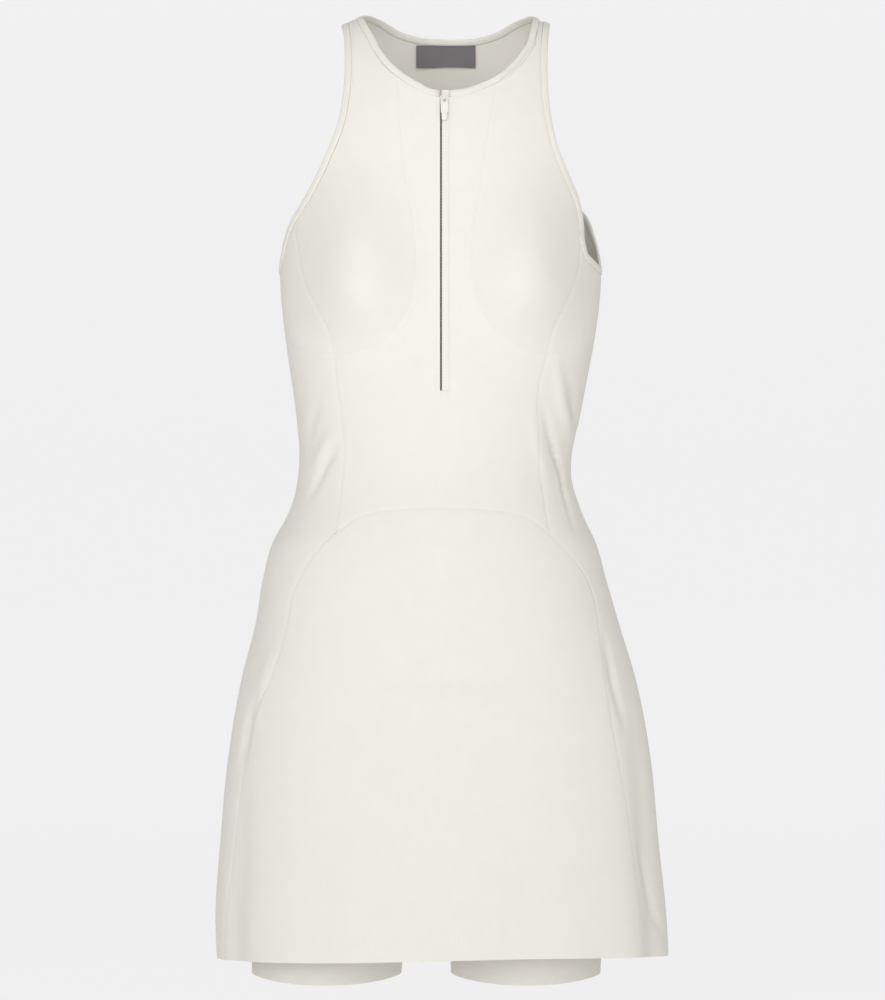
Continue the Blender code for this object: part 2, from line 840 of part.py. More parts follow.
def build_zip(slot_top):
    """The half zip: its tape and coil behind the slot, and the narrow welt that hides them."""
    under_binding = slot_top - SEAM_GAP
    tape = strip_rows(np.linspace(-TAPE_HALF, TAPE_HALF, 5), under_binding, ZIP_END)
    coil = strip_rows((COIL_LEFT, COIL_RIGHT), under_binding, SLOT_END)
    welt = strip_rows((WELT_LEFT, SLOT_RIGHT - SEAM_GAP), slot_top + BINDING_WIDTH, SLOT_END + SEAM_GAP)
    behind_cloth = -(WALL + SEAM_GAP)
    add_strip("zip_welt", welt, "cloth", WALL, 0.0)
    add_strip("zip_coil", coil, "zip", COIL_WALL, behind_cloth)
    add_strip("zip_tape", tape, "zip", TAPE_WALL, behind_cloth - COIL_WALL - SEAM_GAP)


def extruded(name, outline, across, material, hole=()):
    """A flat outline in x and z pushed back through a thickness in y, with an optional square hole."""
    corners, fills = filled(outline, hole=hole)
    total = len(corners)
    points = [(x, y, z) for y in across for x, z in corners]
    faces = {}
    for face in fills:
        for start, end in zip(face, (*face[1:], face[0])):
            if (end, start) in faces:
                del faces[(end, start)]
            else:
                faces[(start, end)] = True
    walls = [(end, start, start + total, end + total) for start, end in faces]
    backs = [tuple(corner + total for corner in reversed(face)) for face in fills]
    return add_object(name, points, [*fills, *backs, *walls], material)


def slider_frame():
    """The slider's place on the front and the lean of the front there."""
    top = seen_at(SLIDER_CENTRE, SLIDER_TOP)
    lower = seen_at(SLIDER_CENTRE, SLIDER_TOP - SLIDER_LENGTH)
    high_point, low_point = figure_point(np.array((top, lower)))
    run = high_point - low_point
    lean = math.atan2(run[1], run[2])
    return high_point, lean


def mirrored(half_outline):
    """A closed outline from its left half, given from the top down."""
    return (*half_outline, *((-x, z) for x, z in reversed(half_outline)))


def build_slider():
    """The slider with its bridge, and the pull tab that hangs from the bridge on a pivot along X."""
    top, lean = slider_frame()
    half = SLIDER_WIDTH / 2
    body = mirrored(
        (
            (-half + SLIDER_CORNER, 0),
            (-half, -SLIDER_CORNER),
            (-half, -SLIDER_LENGTH + 2 * SLIDER_CORNER),
            (-half + SLIDER_CORNER, -SLIDER_LENGTH),
        )
    )
    back_face = -SEAM_GAP
    front_face = back_face - SLIDER_WALL
    slider = extruded("zip_slider", body, (front_face, back_face), "zip")
    pivot_out = front_face - PULL_RISE
    foot = PULL_BAR + BRIDGE_WALL
    sunk = front_face + JOIN_DEPTH
    bridge = side_profile(
        "zip_slider_bridge",
        (
            (sunk, foot - PULL_DROP),
            (pivot_out - foot + BRIDGE_CORNER, foot - PULL_DROP),
            (pivot_out - foot, foot - BRIDGE_CORNER - PULL_DROP),
            (pivot_out - foot, BRIDGE_CORNER - foot - PULL_DROP),
            (pivot_out - foot + BRIDGE_CORNER, -foot - PULL_DROP),
            (sunk, -foot - PULL_DROP),
            (sunk, -PULL_BAR - PULL_DROP),
            (pivot_out - PULL_BAR, -PULL_BAR - PULL_DROP),
            (pivot_out - PULL_BAR, PULL_BAR - PULL_DROP),
            (sunk, PULL_BAR - PULL_DROP),
        ),
        BRIDGE_WIDTH / 2,
    )
    union = slider.modifiers.new("bridge", "BOOLEAN")
    union.operation = "UNION"
    union.solver = "EXACT"
    union.object = bridge
    bridge.parent = slider
    bridge.hide_render = True
    bridge.display_type = "WIRE"
    slider.location = tuple(top * MM)
    slider.rotation_euler = (-lean, 0, 0)
    bar = PULL_BAR / 2
    hole_end = -bar - PULL_HOLE_LENGTH
    outline = mirrored(
        (
            (-RING_HALF + CUT_CORNER, bar),
            (-RING_HALF, bar - CUT_CORNER),
            (-RING_HALF, hole_end),
            (-PLATE_HALF, hole_end - 1),
            (-PLATE_HALF, -PULL_WAIST),
            (-END_HALF, -PULL_WAIST - 1),
            (-END_HALF, -PULL_LENGTH + 1),
            (-END_HALF + 1, -PULL_LENGTH),
        )
    )
    hole = mirrored(((-PULL_HOLE_WIDTH / 2, -bar), (-PULL_HOLE_WIDTH / 2, hole_end)))
    pull = extruded("zip_pull", outline, (-PULL_WALL / 2, PULL_WALL / 2), "zip", hole)
    cosine, sine = math.cos(lean), math.sin(lean)
    pivot = np.array((0.0, pivot_out * cosine - PULL_DROP * sine, -pivot_out * sine - PULL_DROP * cosine))
    pull.location = tuple((top + pivot) * MM)
    pull.rotation_euler = (-lean, 0, 0)


def side_profile(name, outline, half):
    """A profile in y and z pushed across x by a half width to each side."""
    total = len(outline)
    points = [(-half, y, z) for y, z in outline] + [(half, y, z) for y, z in outline]
    front = tuple(range(total))
    back = tuple(total + corner for corner in reversed(front))
    walls = [(end, start, start + total, end + total) for start, end in zip(front, (*front[1:], 0))]
    return add_object(name, points, [front, back, *walls], "zip")


def leg_surface(side):
    """The surface of one leg of the shorts: degrees round from the outer side, and height."""
    sign = 1 if side == "right" else -1

    def surface(places):
        turn = np.radians(places[..., 0]) * sign
        height = places[..., 1]
        middle, centre, half, front, back = [table_value(SHORTS, column, height) for column in range(1, 6)]
        out = power(np.cos(turn), SHORTS_ROUNDNESS)
        deep = power(np.sin(turn), SHORTS_ROUNDNESS)
        x = middle + sign * (centre + half * out)
        y = np.where(deep < 0, front, back) * deep
        drop = np.clip((CROTCH - height) / (CROTCH - SHORTS[0][0]), 0, 1)
        z = height + SHORTS_HEM_RISE * drop * drop * np.cos(turn) ** 2
        return np.stack((x, y, z), axis=-1)

    return surface


def leg_opening(height):
    """How far round a leg's cloth reaches from its outer side: to the middle, or to its own inseam."""
    centre, half = (float(table_value(SHORTS, column, height)) for column in (2, 3))
    share = min((centre - SEAM_GAP / 2) / half, 1.0)
    closed = math.degrees(math.acos(-power(share, 4 / SHORTS_ROUNDNESS)))
    return min(closed, 180 - math.degrees(SEAM_GAP / 2 / half))


def build_shorts():
    """Two legs, each cut in one piece and closed at its inseam, hanging from the hip seam."""
    heights = [SHORTS[0][0], -820, -770, -720, -685, -667, -660, -648, -625, -591, -560, -530, -500, -470, SHORTS_TOP]
    for side in ("right", "left"):
        rows = []
        for height in heights:
            reach = leg_opening(height)
            turns = np.linspace(-reach, reach, SHORTS_COLUMNS + 1)
            rows.append(np.array([(turn, height) for turn in turns]))
        faces = grid_faces(len(rows), SHORTS_COLUMNS + 1)
        add_cloth(f"shorts_leg_{side}", leg_surface(side), np.concatenate(rows), faces, "cloth")


def build_label(curves):
    """A blank label inside the back neck, sewn over the binding."""
    back = curves["neck"]
    points = figure_point(back)
    middle = (LABEL_LEFT + LABEL_RIGHT) / 2
    nearest = int(np.argmin(np.abs(points[:, 0] - middle) + 1000 * (points[:, 1] < 0)))
    top = points[nearest][2] - 0.5
    rows = []
    for height in np.linspace(top - LABEL_DROP, top, 4):
        girths = [place_at(x, height, behind=True) for x in np.linspace(LABEL_RIGHT, LABEL_LEFT, 5)]
        rows.append(np.array([place if place[0] > 0 else place + np.array((360.0, 0)) for place in girths]))
    inside = BINDING_PROUD - BINDING_WALL - SEAM_GAP
    add_strip("back_label", rows, "label", LABEL_WALL, inside)


def main():
    for old in list(bpy.data.objects):
        bpy.data.objects.remove(old)
    curves = cut_curves()
    build_bodice(curves)
    build_skirt_and_back(curves)
    build_bindings(curves)
    build_zip(curves["slot_top"])
    build_slider()
    build_shorts()
    build_label(curves)


main()
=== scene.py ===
import math

import bpy
import numpy as np
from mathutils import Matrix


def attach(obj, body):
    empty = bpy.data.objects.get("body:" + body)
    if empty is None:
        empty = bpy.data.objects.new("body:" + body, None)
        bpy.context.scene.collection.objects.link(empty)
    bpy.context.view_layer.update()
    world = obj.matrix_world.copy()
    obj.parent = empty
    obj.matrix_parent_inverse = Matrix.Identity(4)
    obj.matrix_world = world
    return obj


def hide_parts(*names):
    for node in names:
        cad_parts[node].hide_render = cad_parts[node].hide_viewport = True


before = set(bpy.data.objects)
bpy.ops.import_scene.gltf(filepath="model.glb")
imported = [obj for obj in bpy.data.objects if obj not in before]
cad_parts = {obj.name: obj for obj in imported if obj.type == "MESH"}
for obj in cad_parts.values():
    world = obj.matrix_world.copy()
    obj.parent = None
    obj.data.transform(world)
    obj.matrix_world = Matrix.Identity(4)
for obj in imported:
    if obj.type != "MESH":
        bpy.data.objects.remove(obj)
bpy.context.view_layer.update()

print("frame loaded")


bodyShape = {
    "underarm": -228.0,
    "roundness": 2.2,
    "shoulderCentre": 4.0,
    "shoulderSlope": 0.5,
    "shoulderReach": 84.1,
    "shoulderSoftness": 40.0,
    "girthMm": 2.4,
}

cupShape = {
    "bustOut": 78.0,
    "bustHeight": -243.0,
    "bustDepth": 27.0,
    "bustInner": 70.0,
    "bustOuter": 65.0,
    "bustAbove": 120.0,
    "bustBelow": 62.0,
}

frontView = {
    "viewDistance": 5500.0,
    "viewHeight": -431.0,
}

hiddenSeams = {
    "backSeam": 116.0,
    "underbustSide": ((-292.0, 90.0), (-289.0, 116.0)),
}

zipCut = {
    "slotLeft": -2.2,
    "slotRight": 5.6,
    "slotEnd": -335.0,
    "weltLeft": -0.4,
    "tapeHalf": 11.0,
    "coilLeft": -3.3,
    "coilRight": 0.7,
    "zipEnd": -345.0,
}

labelCut = {
    "labelLeft": -24.0,
    "labelRight": 30.0,
    "labelTop": -21.6,
    "labelDrop": 19.4,
    "labelWall": 0.6,
}

shortsCut = {
    "shortsRoundness": 2.15,
    "shortsHemRise": 6.0,
    "crotch": -667.0,
    "shortsTop": -443.0,
}

sewing = {
    "wall": 1.4,
    "bindingWidth": 6.2,
    "sharpestCorner": 0.35,
    "bindingCut": 0.0145,
    "bindingLayer": 0.0078,
}

# height, half width, centre, front depth, back depth
figureRows = (
    (-850, 201.3, 0.5, 128.5, 131.5),
    (-838, 201.1, 0.0, 128, 131),
    (-805, 200.7, -1.3, 124, 130),
    (-734, 194.9, -2.7, 115, 128),
    (-662, 188.2, -3.1, 108, 127),
    (-591, 175.3, -3.6, 102, 125),
    (-538, 160.6, -4.5, 98.5, 114),
    (-502, 152.6, -6.7, 96, 101),
    (-466, 142.4, -7.1, 92, 90),
    (-449, 133.5, -6.5, 89, 84),
    (-431, 126.4, -6.4, 85.5, 79),
    (-413, 121.9, -7.1, 83, 76.5),
    (-395, 121.0, -6.6, 82.5, 76),
    (-360, 125.5, -4.2, 83.5, 78),
    (-324, 131.3, -3.1, 85, 82),
    (-288, 137.5, -2.2, 86, 88),
    (-253, 141.8, -1.8, 86, 95),
    (-228, 143.2, -1.8, 86, 98),
    (-200, 143.2, -1.8, 86, 98),
)

# girth, spread, depth at the hem (outwards positive), height where the fold starts
skirtFolds = (
    (68, 7, -5.0, -520),
    (54, 9, 3.0, -560),
    (-64, 7, -4.0, -580),
    (-42, 12, 2.5, -640),
    (-20, 11, 3.0, -600),
    (18, 13, -2.5, -620),
    (128, 10, -4.0, -560),
    (150, 12, 4.0, -600),
    (178, 12, -4.5, -570),
    (-152, 12, 4.5, -610),
    (-124, 10, -4.0, -550),
)

# girth, height of the skirt's hem
skirtHem = (
    (-180, -840),
    (-140, -839),
    (-90, -838),
    (-32, -835),
    (20, -831),
    (60, -833),
    (90, -836),
    (140, -839),
    (180, -840),
)

# x, height of the neck edge in front, from the zip to the shoulder
neckFront = {
    "right": ((22.3, -64), (45.0, -54.8), (56.5, -47), (68.0, -34.7), (77.0, -19.6)),
    "left": ((-12.5, -64), (-38.0, -48.5), (-51.6, -34.7), (-60.5, -19.6), (-68.5, -5.3)),
}

# x, height of the armhole edge in front, from the shoulder down to the underarm
armholeFront = {
    "right": (
        (93.8, -26.7),
        (93.6, -57),
        (96.5, -88),
        (103.5, -118),
        (114.8, -146),
        (122.2, -165),
        (125.6, -183),
        (126.8, -200),
        (130.5, -213),
    ),
    "left": (
        (-87.3, -26.7),
        (-87.8, -62),
        (-93.0, -94),
        (-103.2, -121),
        (-114.8, -146),
        (-125.5, -166),
        (-135.6, -183),
        (-141.3, -200),
        (-143.6, -213),
    ),
}

# distance from the middle, height of the armhole edge behind, from the underarm up to the shoulder
armholeBack = (
    (139.5, -212),
    (135.5, -196),
    (129.0, -179),
    (110.0, -163),
    (92.0, -145),
    (77.0, -120),
    (72.0, -95),
    (73.0, -68),
    (80.0, -40),
    (87.0, -20),
)

# x, height down the seam between the front and a cup, from the neck to the side-cup seam
cupSeam = {
    "right": (
        (42.7, -92.6),
        (37.0, -124),
        (34.5, -152),
        (28.5, -181),
        (25.8, -209),
        (26.4, -234),
        (31.2, -255),
        (40.0, -272.5),
        (52.5, -286),
        (71.0, -296),
    ),
    "left": (
        (-39.5, -88),
        (-36.5, -115),
        (-33.8, -148),
        (-27.0, -181),
        (-24.2, -212),
        (-24.9, -239),
        (-30.5, -261),
        (-41.0, -278),
        (-56.5, -292.5),
        (-77.0, -298.6),
    ),
}

# x, height down the seam between a cup and the side, from the armhole
sideCupSeam = {
    "right": ((123.0, -206), (120.2, -230), (110.4, -255.4), (98.6, -281)),
    "left": ((-129.5, -206), (-123.5, -236), (-114.5, -256), (-101.8, -281)),
}

# x, height down the waist seam, from the underbust corner to the arched hip seam
waistSeam = {
    "right": ((87.0, -327), (85.0, -350), (86.0, -387), (89.0, -419), (92.5, -442)),
    "left": ((-94.5, -328), (-91.0, -352), (-88.0, -385), (-90.0, -415), (-92.8, -440)),
}

# x, height down the skirt seam, from the hip corner to the hem
skirtSeam = {
    "right": (
        (113.0, -479),
        (127.3, -498),
        (136.0, -520),
        (140.5, -552),
        (145.5, -594),
        (154.5, -652),
        (165.5, -716),
        (174.5, -778),
    ),
    "left": (
        (-111.5, -476),
        (-124.6, -497),
        (-134.4, -518),
        (-139.5, -547),
        (-151.5, -586),
        (-167.0, -622),
        (-179.8, -680),
        (-189.5, -760),
    ),
}

# height, middle, leg centre from the middle, leg half width, front depth, back depth
shortsRows = (
    (-857, -14.5, 88.5, 66.5, 80, 78),
    (-800, -13.5, 87.5, 69, 78, 80),
    (-720, -12, 84.5, 75, 80, 87),
    (-667, -11, 81, 80.6, 85, 96),
    (-640, -10, 66, 93, 88, 101),
    (-591, -8, 38, 118, 92, 107),
    (-538, -6.2, 13, 139.5, 94.5, 107.5),
    (-502, -6.9, 3, 145, 92.6, 97),
    (-466, -7.1, 0, 138.4, 89, 86.8),
    (-443, -6.5, 0, 127.9, 85.2, 79.8),
)

neckEdgeTop = -66.3

neckShoulder = {"right": 79.6, "left": -70.3}

neckCupRow = {"right": 1, "left": 1}

# x, height of the neck edge behind, from the right shoulder to the left
neckBack = ((54.3, -11.6), (32.0, -19.8), (6.0, -21.4), (-22.0, -19.0), (-42.7, -11.6))

armholeCupRow = 6

armholeShoulder = {"right": 95.4, "left": -90.0}

armholeLift = 3.0

armholeBackRow = 2

underbustCorner = {"right": (93.5, -301.4), "left": (-97.0, -301.8)}

hipCorner = {"right": (97.0, -462.5), "left": (-95.5, -461.5)}

# x, height across the arched hip seam, from the left corner to the right one
hipArch = ((-81, -449.6), (-65, -443), (-44, -439.6), (0, -438), (42, -439.6), (64, -443), (81, -449.6))

skirtSeamHem = {"right": 181.6, "left": -195.8}


# A column of a table as a smooth curve over its first column
def tableValue(table, column, at):
    knots = np.array([row[0] for row in table], float)
    values = np.array([row[column] for row in table], float)
    slopes = np.gradient(values, knots)
    at = np.clip(np.asarray(at, float), knots[0], knots[-1])
    row = np.clip(np.searchsorted(knots, at, side="right") - 1, 0, len(knots) - 2)
    width = knots[row + 1] - knots[row]
    part = (at - knots[row]) / width
    rest = 1 - part
    return (
        values[row] * rest * rest * (1 + 2 * part)
        + values[row + 1] * part * part * (3 - 2 * part)
        + width * (slopes[row] * part * rest * rest - slopes[row + 1] * part * part * rest)
    )


# A sine or cosine bent so that the section is a little squarer than an ellipse
def power(value, roundness=bodyShape["roundness"]):
    return np.sign(value) * np.abs(value) ** (2 / roundness)


# Half width, centre, front depth and back depth of the figure at a height
def section(height):
    held = np.minimum(height, bodyShape["underarm"])
    return [tableValue(figureRows, column, held) for column in (1, 2, 3, 4)]


def shoulderHeight(x):
    across = np.hypot(x - bodyShape["shoulderCentre"], bodyShape["shoulderSoftness"])
    return bodyShape["shoulderSlope"] * (bodyShape["shoulderReach"] - across)


# How far the cups stand forward of the figure
def bust(x, z):
    total = np.zeros(np.shape(x))
    for side in (-1, 1):
        out = side * x - cupShape["bustOut"]
        up = z - cupShape["bustHeight"]
        wide = np.where(out < 0, cupShape["bustInner"], cupShape["bustOuter"])
        tall = np.where(up > 0, cupShape["bustAbove"], cupShape["bustBelow"])
        away = np.minimum(np.hypot(out / wide, up / tall), 1)
        total = total + cupShape["bustDepth"] * np.cos(away * math.pi / 2) ** 2
    return total


# How far the skirt's folds stand out at a place
def foldDepth(girth, height):
    total = np.zeros(np.shape(girth))
    hem = skirtHem[0][1]
    for middle, spread, depth, top in skirtFolds:
        away = (girth - middle + 180) % 360 - 180
        grown = np.clip((top - height) / (top - hem), 0, 1)
        total = total + depth * np.exp(-((away / spread) ** 2)) * grown * grown * (3 - 2 * grown)
    return total


# Points of the figure at places of girth and lift
def figurePoint(places):
    girth, lift = places[..., 0], places[..., 1]
    turn = np.radians(girth)
    low = bodyShape["underarm"] + np.minimum(lift, 0)
    half, centre, front, back = section(low)
    x = centre + half * power(np.sin(turn))
    rise = shoulderHeight(x) - bodyShape["underarm"]
    lean = np.maximum(lift, 0) / rise
    z = low + rise * np.sin(lean)
    reach = power(np.cos(turn)) * np.cos(lean)
    y = -np.where(reach > 0, front, back) * reach
    y = y - bust(x, z) * (reach > 0)
    fold = foldDepth(girth, low)
    x = x + fold * np.sin(turn)
    y = y - fold * np.cos(turn)
    return np.stack((x, y, z), axis=-1)


# The place of a point of the figure that is given by its x and its height
def placeAt(x, height, behind=False):
    half, centre, _, _ = section(height)
    across = np.clip((x - centre) / half, -1, 1)
    girth = np.degrees(np.arcsin(np.sign(across) * np.abs(across) ** (bodyShape["roundness"] / 2)))
    rise = shoulderHeight(x) - bodyShape["underarm"]
    up = np.clip((height - bodyShape["underarm"]) / rise, 0, 1)
    lift = rise * np.arcsin(up) if height > bodyShape["underarm"] else height - bodyShape["underarm"]
    if behind:
        girth = math.copysign(180, x) - girth
    return np.array((girth, lift), float)


# The place that the front view shows at x and a height: what is nearer looks larger
def seenAt(x, height, behind=False):
    scale = 1.0
    for _ in range(4):
        trueHeight = frontView["viewHeight"] + (height - frontView["viewHeight"]) * scale
        place = placeAt(x * scale, trueHeight, behind)
        scale = 1 + figurePoint(place)[1] / frontView["viewDistance"]
    return place


# The lift of the shoulder line at a girth
def shoulderTop(girth):
    half, centre, _, _ = section(bodyShape["underarm"])
    x = centre + half * power(np.sin(np.radians(girth)))
    return (shoulderHeight(x) - bodyShape["underarm"]) * math.pi / 2


def shoulderPlace(x):
    girth = placeAt(x, bodyShape["underarm"])[0]
    return np.array((girth, shoulderTop(girth)))


# The same point counted from the other side of the shoulder line
def turnedOver(place):
    girth, lift = place
    return np.array((math.copysign(180, girth) - girth, 2 * shoulderTop(girth) - lift))


# A place counted so that it runs on smoothly from another one over the shoulder or round the side
def beside(place, other):
    across = (abs(place[0]) > 90) != (abs(other[0]) > 90)
    high = min(place[1], other[1]) > shoulderTop(other[0]) / 3
    moved = turnedOver(place) if across and high else place
    shift = 360 * round((other[0] - moved[0]) / 360)
    return np.array((moved[0] + shift, moved[1]))


# A place with its lift at or under the shoulder line
def countedBelow(place):
    over = place[1] > shoulderTop(place[0]) + 1e-6
    return turnedOver(place) if over else place


# Places along a smooth curve through knots, and the index of each knot among them
def smoothCurve(knots, spacing, closed=False):
    total = len(knots)
    across, along = spacing
    places = []
    marks = []
    for start in range(total if closed else total - 1):
        picked = [knots[(start + step) % total] for step in (-1, 0, 1, 2)]
        if not closed and start == 0:
            picked[0] = None
        if not closed and start == total - 2:
            picked[3] = None
        here = picked[1]
        near = [None if knot is None else beside(knot, here) for knot in picked]
        if near[0] is None:
            near[0] = 2 * near[1] - near[2]
        if near[3] is None:
            near[3] = 2 * near[2] - near[1]
        lengths = [
            math.hypot((end[0] - begin[0]) * bodyShape["girthMm"], end[1] - begin[1])
            for begin, end in zip(near, near[1:])
        ]
        span = lengths[1]
        leave = (near[2] - near[0]) / (lengths[0] + span) * span
        arrive = (near[3] - near[1]) / (lengths[2] + span) * span
        step = near[2] - near[1]
        reach = math.hypot(step[0] * bodyShape["girthMm"] / across, step[1] / along)
        count = max(1, math.ceil(reach - 0.2))
        marks.append(len(places))
        for part in np.arange(count) / count:
            rest = 1 - part
            place = (
                near[1] * rest * rest * (1 + 2 * part)
                + near[2] * part * part * (3 - 2 * part)
                + leave * part * rest * rest
                - arrive * part * part * rest
            )
            places.append(countedBelow(place))
    if not closed:
        marks.append(len(places))
        places.append(knots[-1])
    return np.array(places), marks


# The two directions of a surface at places: per degree round it and per millimetre up it
def axesAt(surface, places):
    step = 0.1
    roundStep = np.array((step, 0.0))
    upStep = np.array((0.0, step))
    roundWay = (surface(places + roundStep) - surface(places - roundStep)) / (2 * step)
    upWay = (surface(places + upStep) - surface(places - upStep)) / (2 * step)
    return roundWay, upWay


def outward(surface, places):
    roundWay, upWay = axesAt(surface, places)
    normal = np.cross(roundWay, upWay)
    return normal / np.linalg.norm(normal, axis=-1, keepdims=True)


# Places moved over the figure by a distance along a direction in space
def slid(places, direction, distance):
    roundWay, upWay = axesAt(figurePoint, places)
    aa = (roundWay * roundWay).sum(-1)
    ab = (roundWay * upWay).sum(-1)
    bb = (upWay * upWay).sum(-1)
    da = (roundWay * direction).sum(-1)
    db = (upWay * direction).sum(-1)
    scale = distance / (aa * bb - ab * ab)
    return places + np.stack(((bb * da - ab * db) * scale, (aa * db - ab * da) * scale), axis=-1)


def unit(vectors):
    return vectors / np.maximum(np.linalg.norm(vectors, axis=-1, keepdims=True), 1e-9)


# A curve moved to its left over the figure, with its corners kept
def movedInside(places, distance, closed):
    points = figurePoint(places)
    after = unit(np.roll(points, -1, axis=0) - points)
    before = unit(points - np.roll(points, 1, axis=0))
    if not closed:
        after[-1] = before[-1]
        before[0] = after[0]
    normal = outward(figurePoint, places)
    leftBefore = np.cross(normal, before)
    leftAfter = np.cross(normal, after)
    spread = np.maximum(1 + (leftBefore * leftAfter).sum(-1, keepdims=True), sewing["sharpestCorner"])
    return slid(places, (leftBefore + leftAfter) / spread, distance)


# The finished neck edge, from the right side of the zip round the back to its left side
def neckEdge():
    knots = [seenAt(zipCut["slotRight"], neckEdgeTop)]
    knots += [seenAt(x, z) for x, z in neckFront["right"]]
    knots.append(shoulderPlace(neckShoulder["right"]))
    knots += [seenAt(x, z, behind=True) for x, z in neckBack]
    knots.append(shoulderPlace(neckShoulder["left"]))
    knots += [seenAt(x, z) for x, z in reversed(neckFront["left"])]
    knots.append(seenAt(zipCut["slotLeft"], neckEdgeTop))
    return knots


# The finished armhole edge, from the shoulder down in front and up behind
def armholeEdge(side):
    sign = 1 if side == "right" else -1
    knots = [shoulderPlace(armholeShoulder[side])]
    knots += [seenAt(x, z) for x, z in armholeFront[side]]
    knots.append(np.array((90.0 * sign, armholeLift)))
    knots += [seenAt(sign * out, z, behind=True) for out, z in armholeBack]
    return knots


# A seam from one place to another through the points that the front view gives
def seam(start, rows, end, spacing):
    knots = [start, *(seenAt(x, z) for x, z in rows), end]
    return smoothCurve(knots, spacing)[0]


# Places on the skirt's hem at girths counted either way round
def hemPlaces(girths):
    turned = (np.asarray(girths) + 180) % 360 - 180
    return np.stack((girths, tableValue(skirtHem, 1, turned) - bodyShape["underarm"]), axis=-1)


# Every seam and edge of the dress, as curves of places that neighbouring pieces share
def cutCurves():
    neck, neckMarks = smoothCurve(neckEdge(), fine)
    neckSeam = movedInside(neck, -sewing["bindingWidth"], closed=False)
    rows = {side: len(neckFront[side]) for side in neckFront}
    last = len(neckMarks) - 1
    neckCup = {"right": neckMarks[1 + neckCupRow["right"]], "left": neckMarks[last - 1 - neckCupRow["left"]]}
    neckShoulder = {
        "right": neckMarks[1 + rows["right"]],
        "left": neckMarks[last - 1 - rows["left"]],
    }
    curves = {"neck": neck, "neckSeam": neckSeam}
    hemEnds = {}
    for side, sign in (("right", 1), ("left", -1)):
        made = {}
        hole, marks = smoothCurve(armholeEdge(side), fine, closed=True)
        holeSeam = movedInside(hole, -sign * sewing["bindingWidth"], closed=True)
        holeSeam[0][1] = shoulderTop(holeSeam[0][0])
        shoulder = neckShoulder[side]
        neckSeam[shoulder][1] = shoulderTop(neckSeam[shoulder][0])
        cupTop = neckCup[side]
        cupSide = marks[1 + armholeCupRow]
        backSide = marks[2 + len(armholeFront[side]) + armholeBackRow]
        corner = seenAt(*underbustCorner[side])
        hip = seenAt(*hipCorner[side])
        hemEnd = hemPlaces([seenAt(skirtSeamHem[side], skirtHem[0][1])[0]])[0]
        hemEnds[side] = hemEnd
        backHem = hemPlaces([sign * hiddenSeams["backSeam"]])[0]
        underbust = [
            np.array((sign * girth, height - bodyShape["underarm"]))
            for height, girth in hiddenSeams["underbustSide"]
        ]
        sideMiddle = underbust[-1] + (holeSeam[backSide] - underbust[-1]) * 0.5
        made["armhole"] = hole
        made["armholeSeam"] = holeSeam
        made["armholeFront"] = holeSeam[: cupSide + 1]
        made["armholeUnder"] = holeSeam[cupSide : backSide + 1][::-1]
        made["armholeBack"] = np.concatenate((holeSeam[backSide:], holeSeam[:1]))
        if side == "right":
            made["neckFront"] = neckSeam[: cupTop + 1]
            made["neckSide"] = neckSeam[cupTop : shoulder + 1]
        else:
            made["neckFront"] = neckSeam[cupTop:]
            made["neckSide"] = neckSeam[shoulder : cupTop + 1][::-1]
        made["cup"] = seam(neckSeam[cupTop], cupSeam[side], corner, fine)
        made["sideCup"] = seam(holeSeam[cupSide], sideCupSeam[side], corner, fine)
        made["waist"] = seam(corner, waistSeam[side], hip, fine)
        made["skirt"] = seam(hip, skirtSeam[side], hemEnd, (fine[0], 30.0))
        made["underbust"] = smoothCurve([corner, *underbust], fine)[0]
        made["backTop"] = smoothCurve([holeSeam[backSide], sideMiddle, underbust[-1]], fine)[0]
        steps = [underbust[-1] + (backHem - underbust[-1]) * part for part in np.linspace(0, 1, 17)]
        made["backLow"] = np.array(steps)
        made["hemSide"] = hemPlaces(np.linspace(hemEnd[0], backHem[0], 5))
        curves[side] = made
    curves["neckBack"] = neckSeam[neckShoulder["right"] : neckShoulder["left"] + 1]
    arch = [seenAt(*hipCorner["left"]), *(seenAt(x, z) for x, z in hipArch), seenAt(*hipCorner["right"])]
    curves["arch"] = smoothCurve(arch, fine)[0]
    curves["hemFront"] = hemPlaces(np.linspace(hemEnds["left"][0], hemEnds["right"][0], 20))
    curves["slotTop"] = figurePoint(neckSeam[-1])[2]
    return curves


# A place counted on the back of the figure
def behindShoulder(place):
    return turnedOver(place) if abs(place[0]) < 90 else place


# Fabrics and finishes


def nodesOf(name):
    material = bpy.data.materials.new(name)
    material.use_nodes = True
    return material, material.node_tree.nodes, material.node_tree.links


def mathNode(nodes, links, operation, first, second):
    node = nodes.new("ShaderNodeMath")
    node.operation = operation
    for socket, value in zip(node.inputs, (first, second)):
        if isinstance(value, (int, float)):
            socket.default_value = value
        else:
            links.new(value, socket)
    return node.outputs[0]


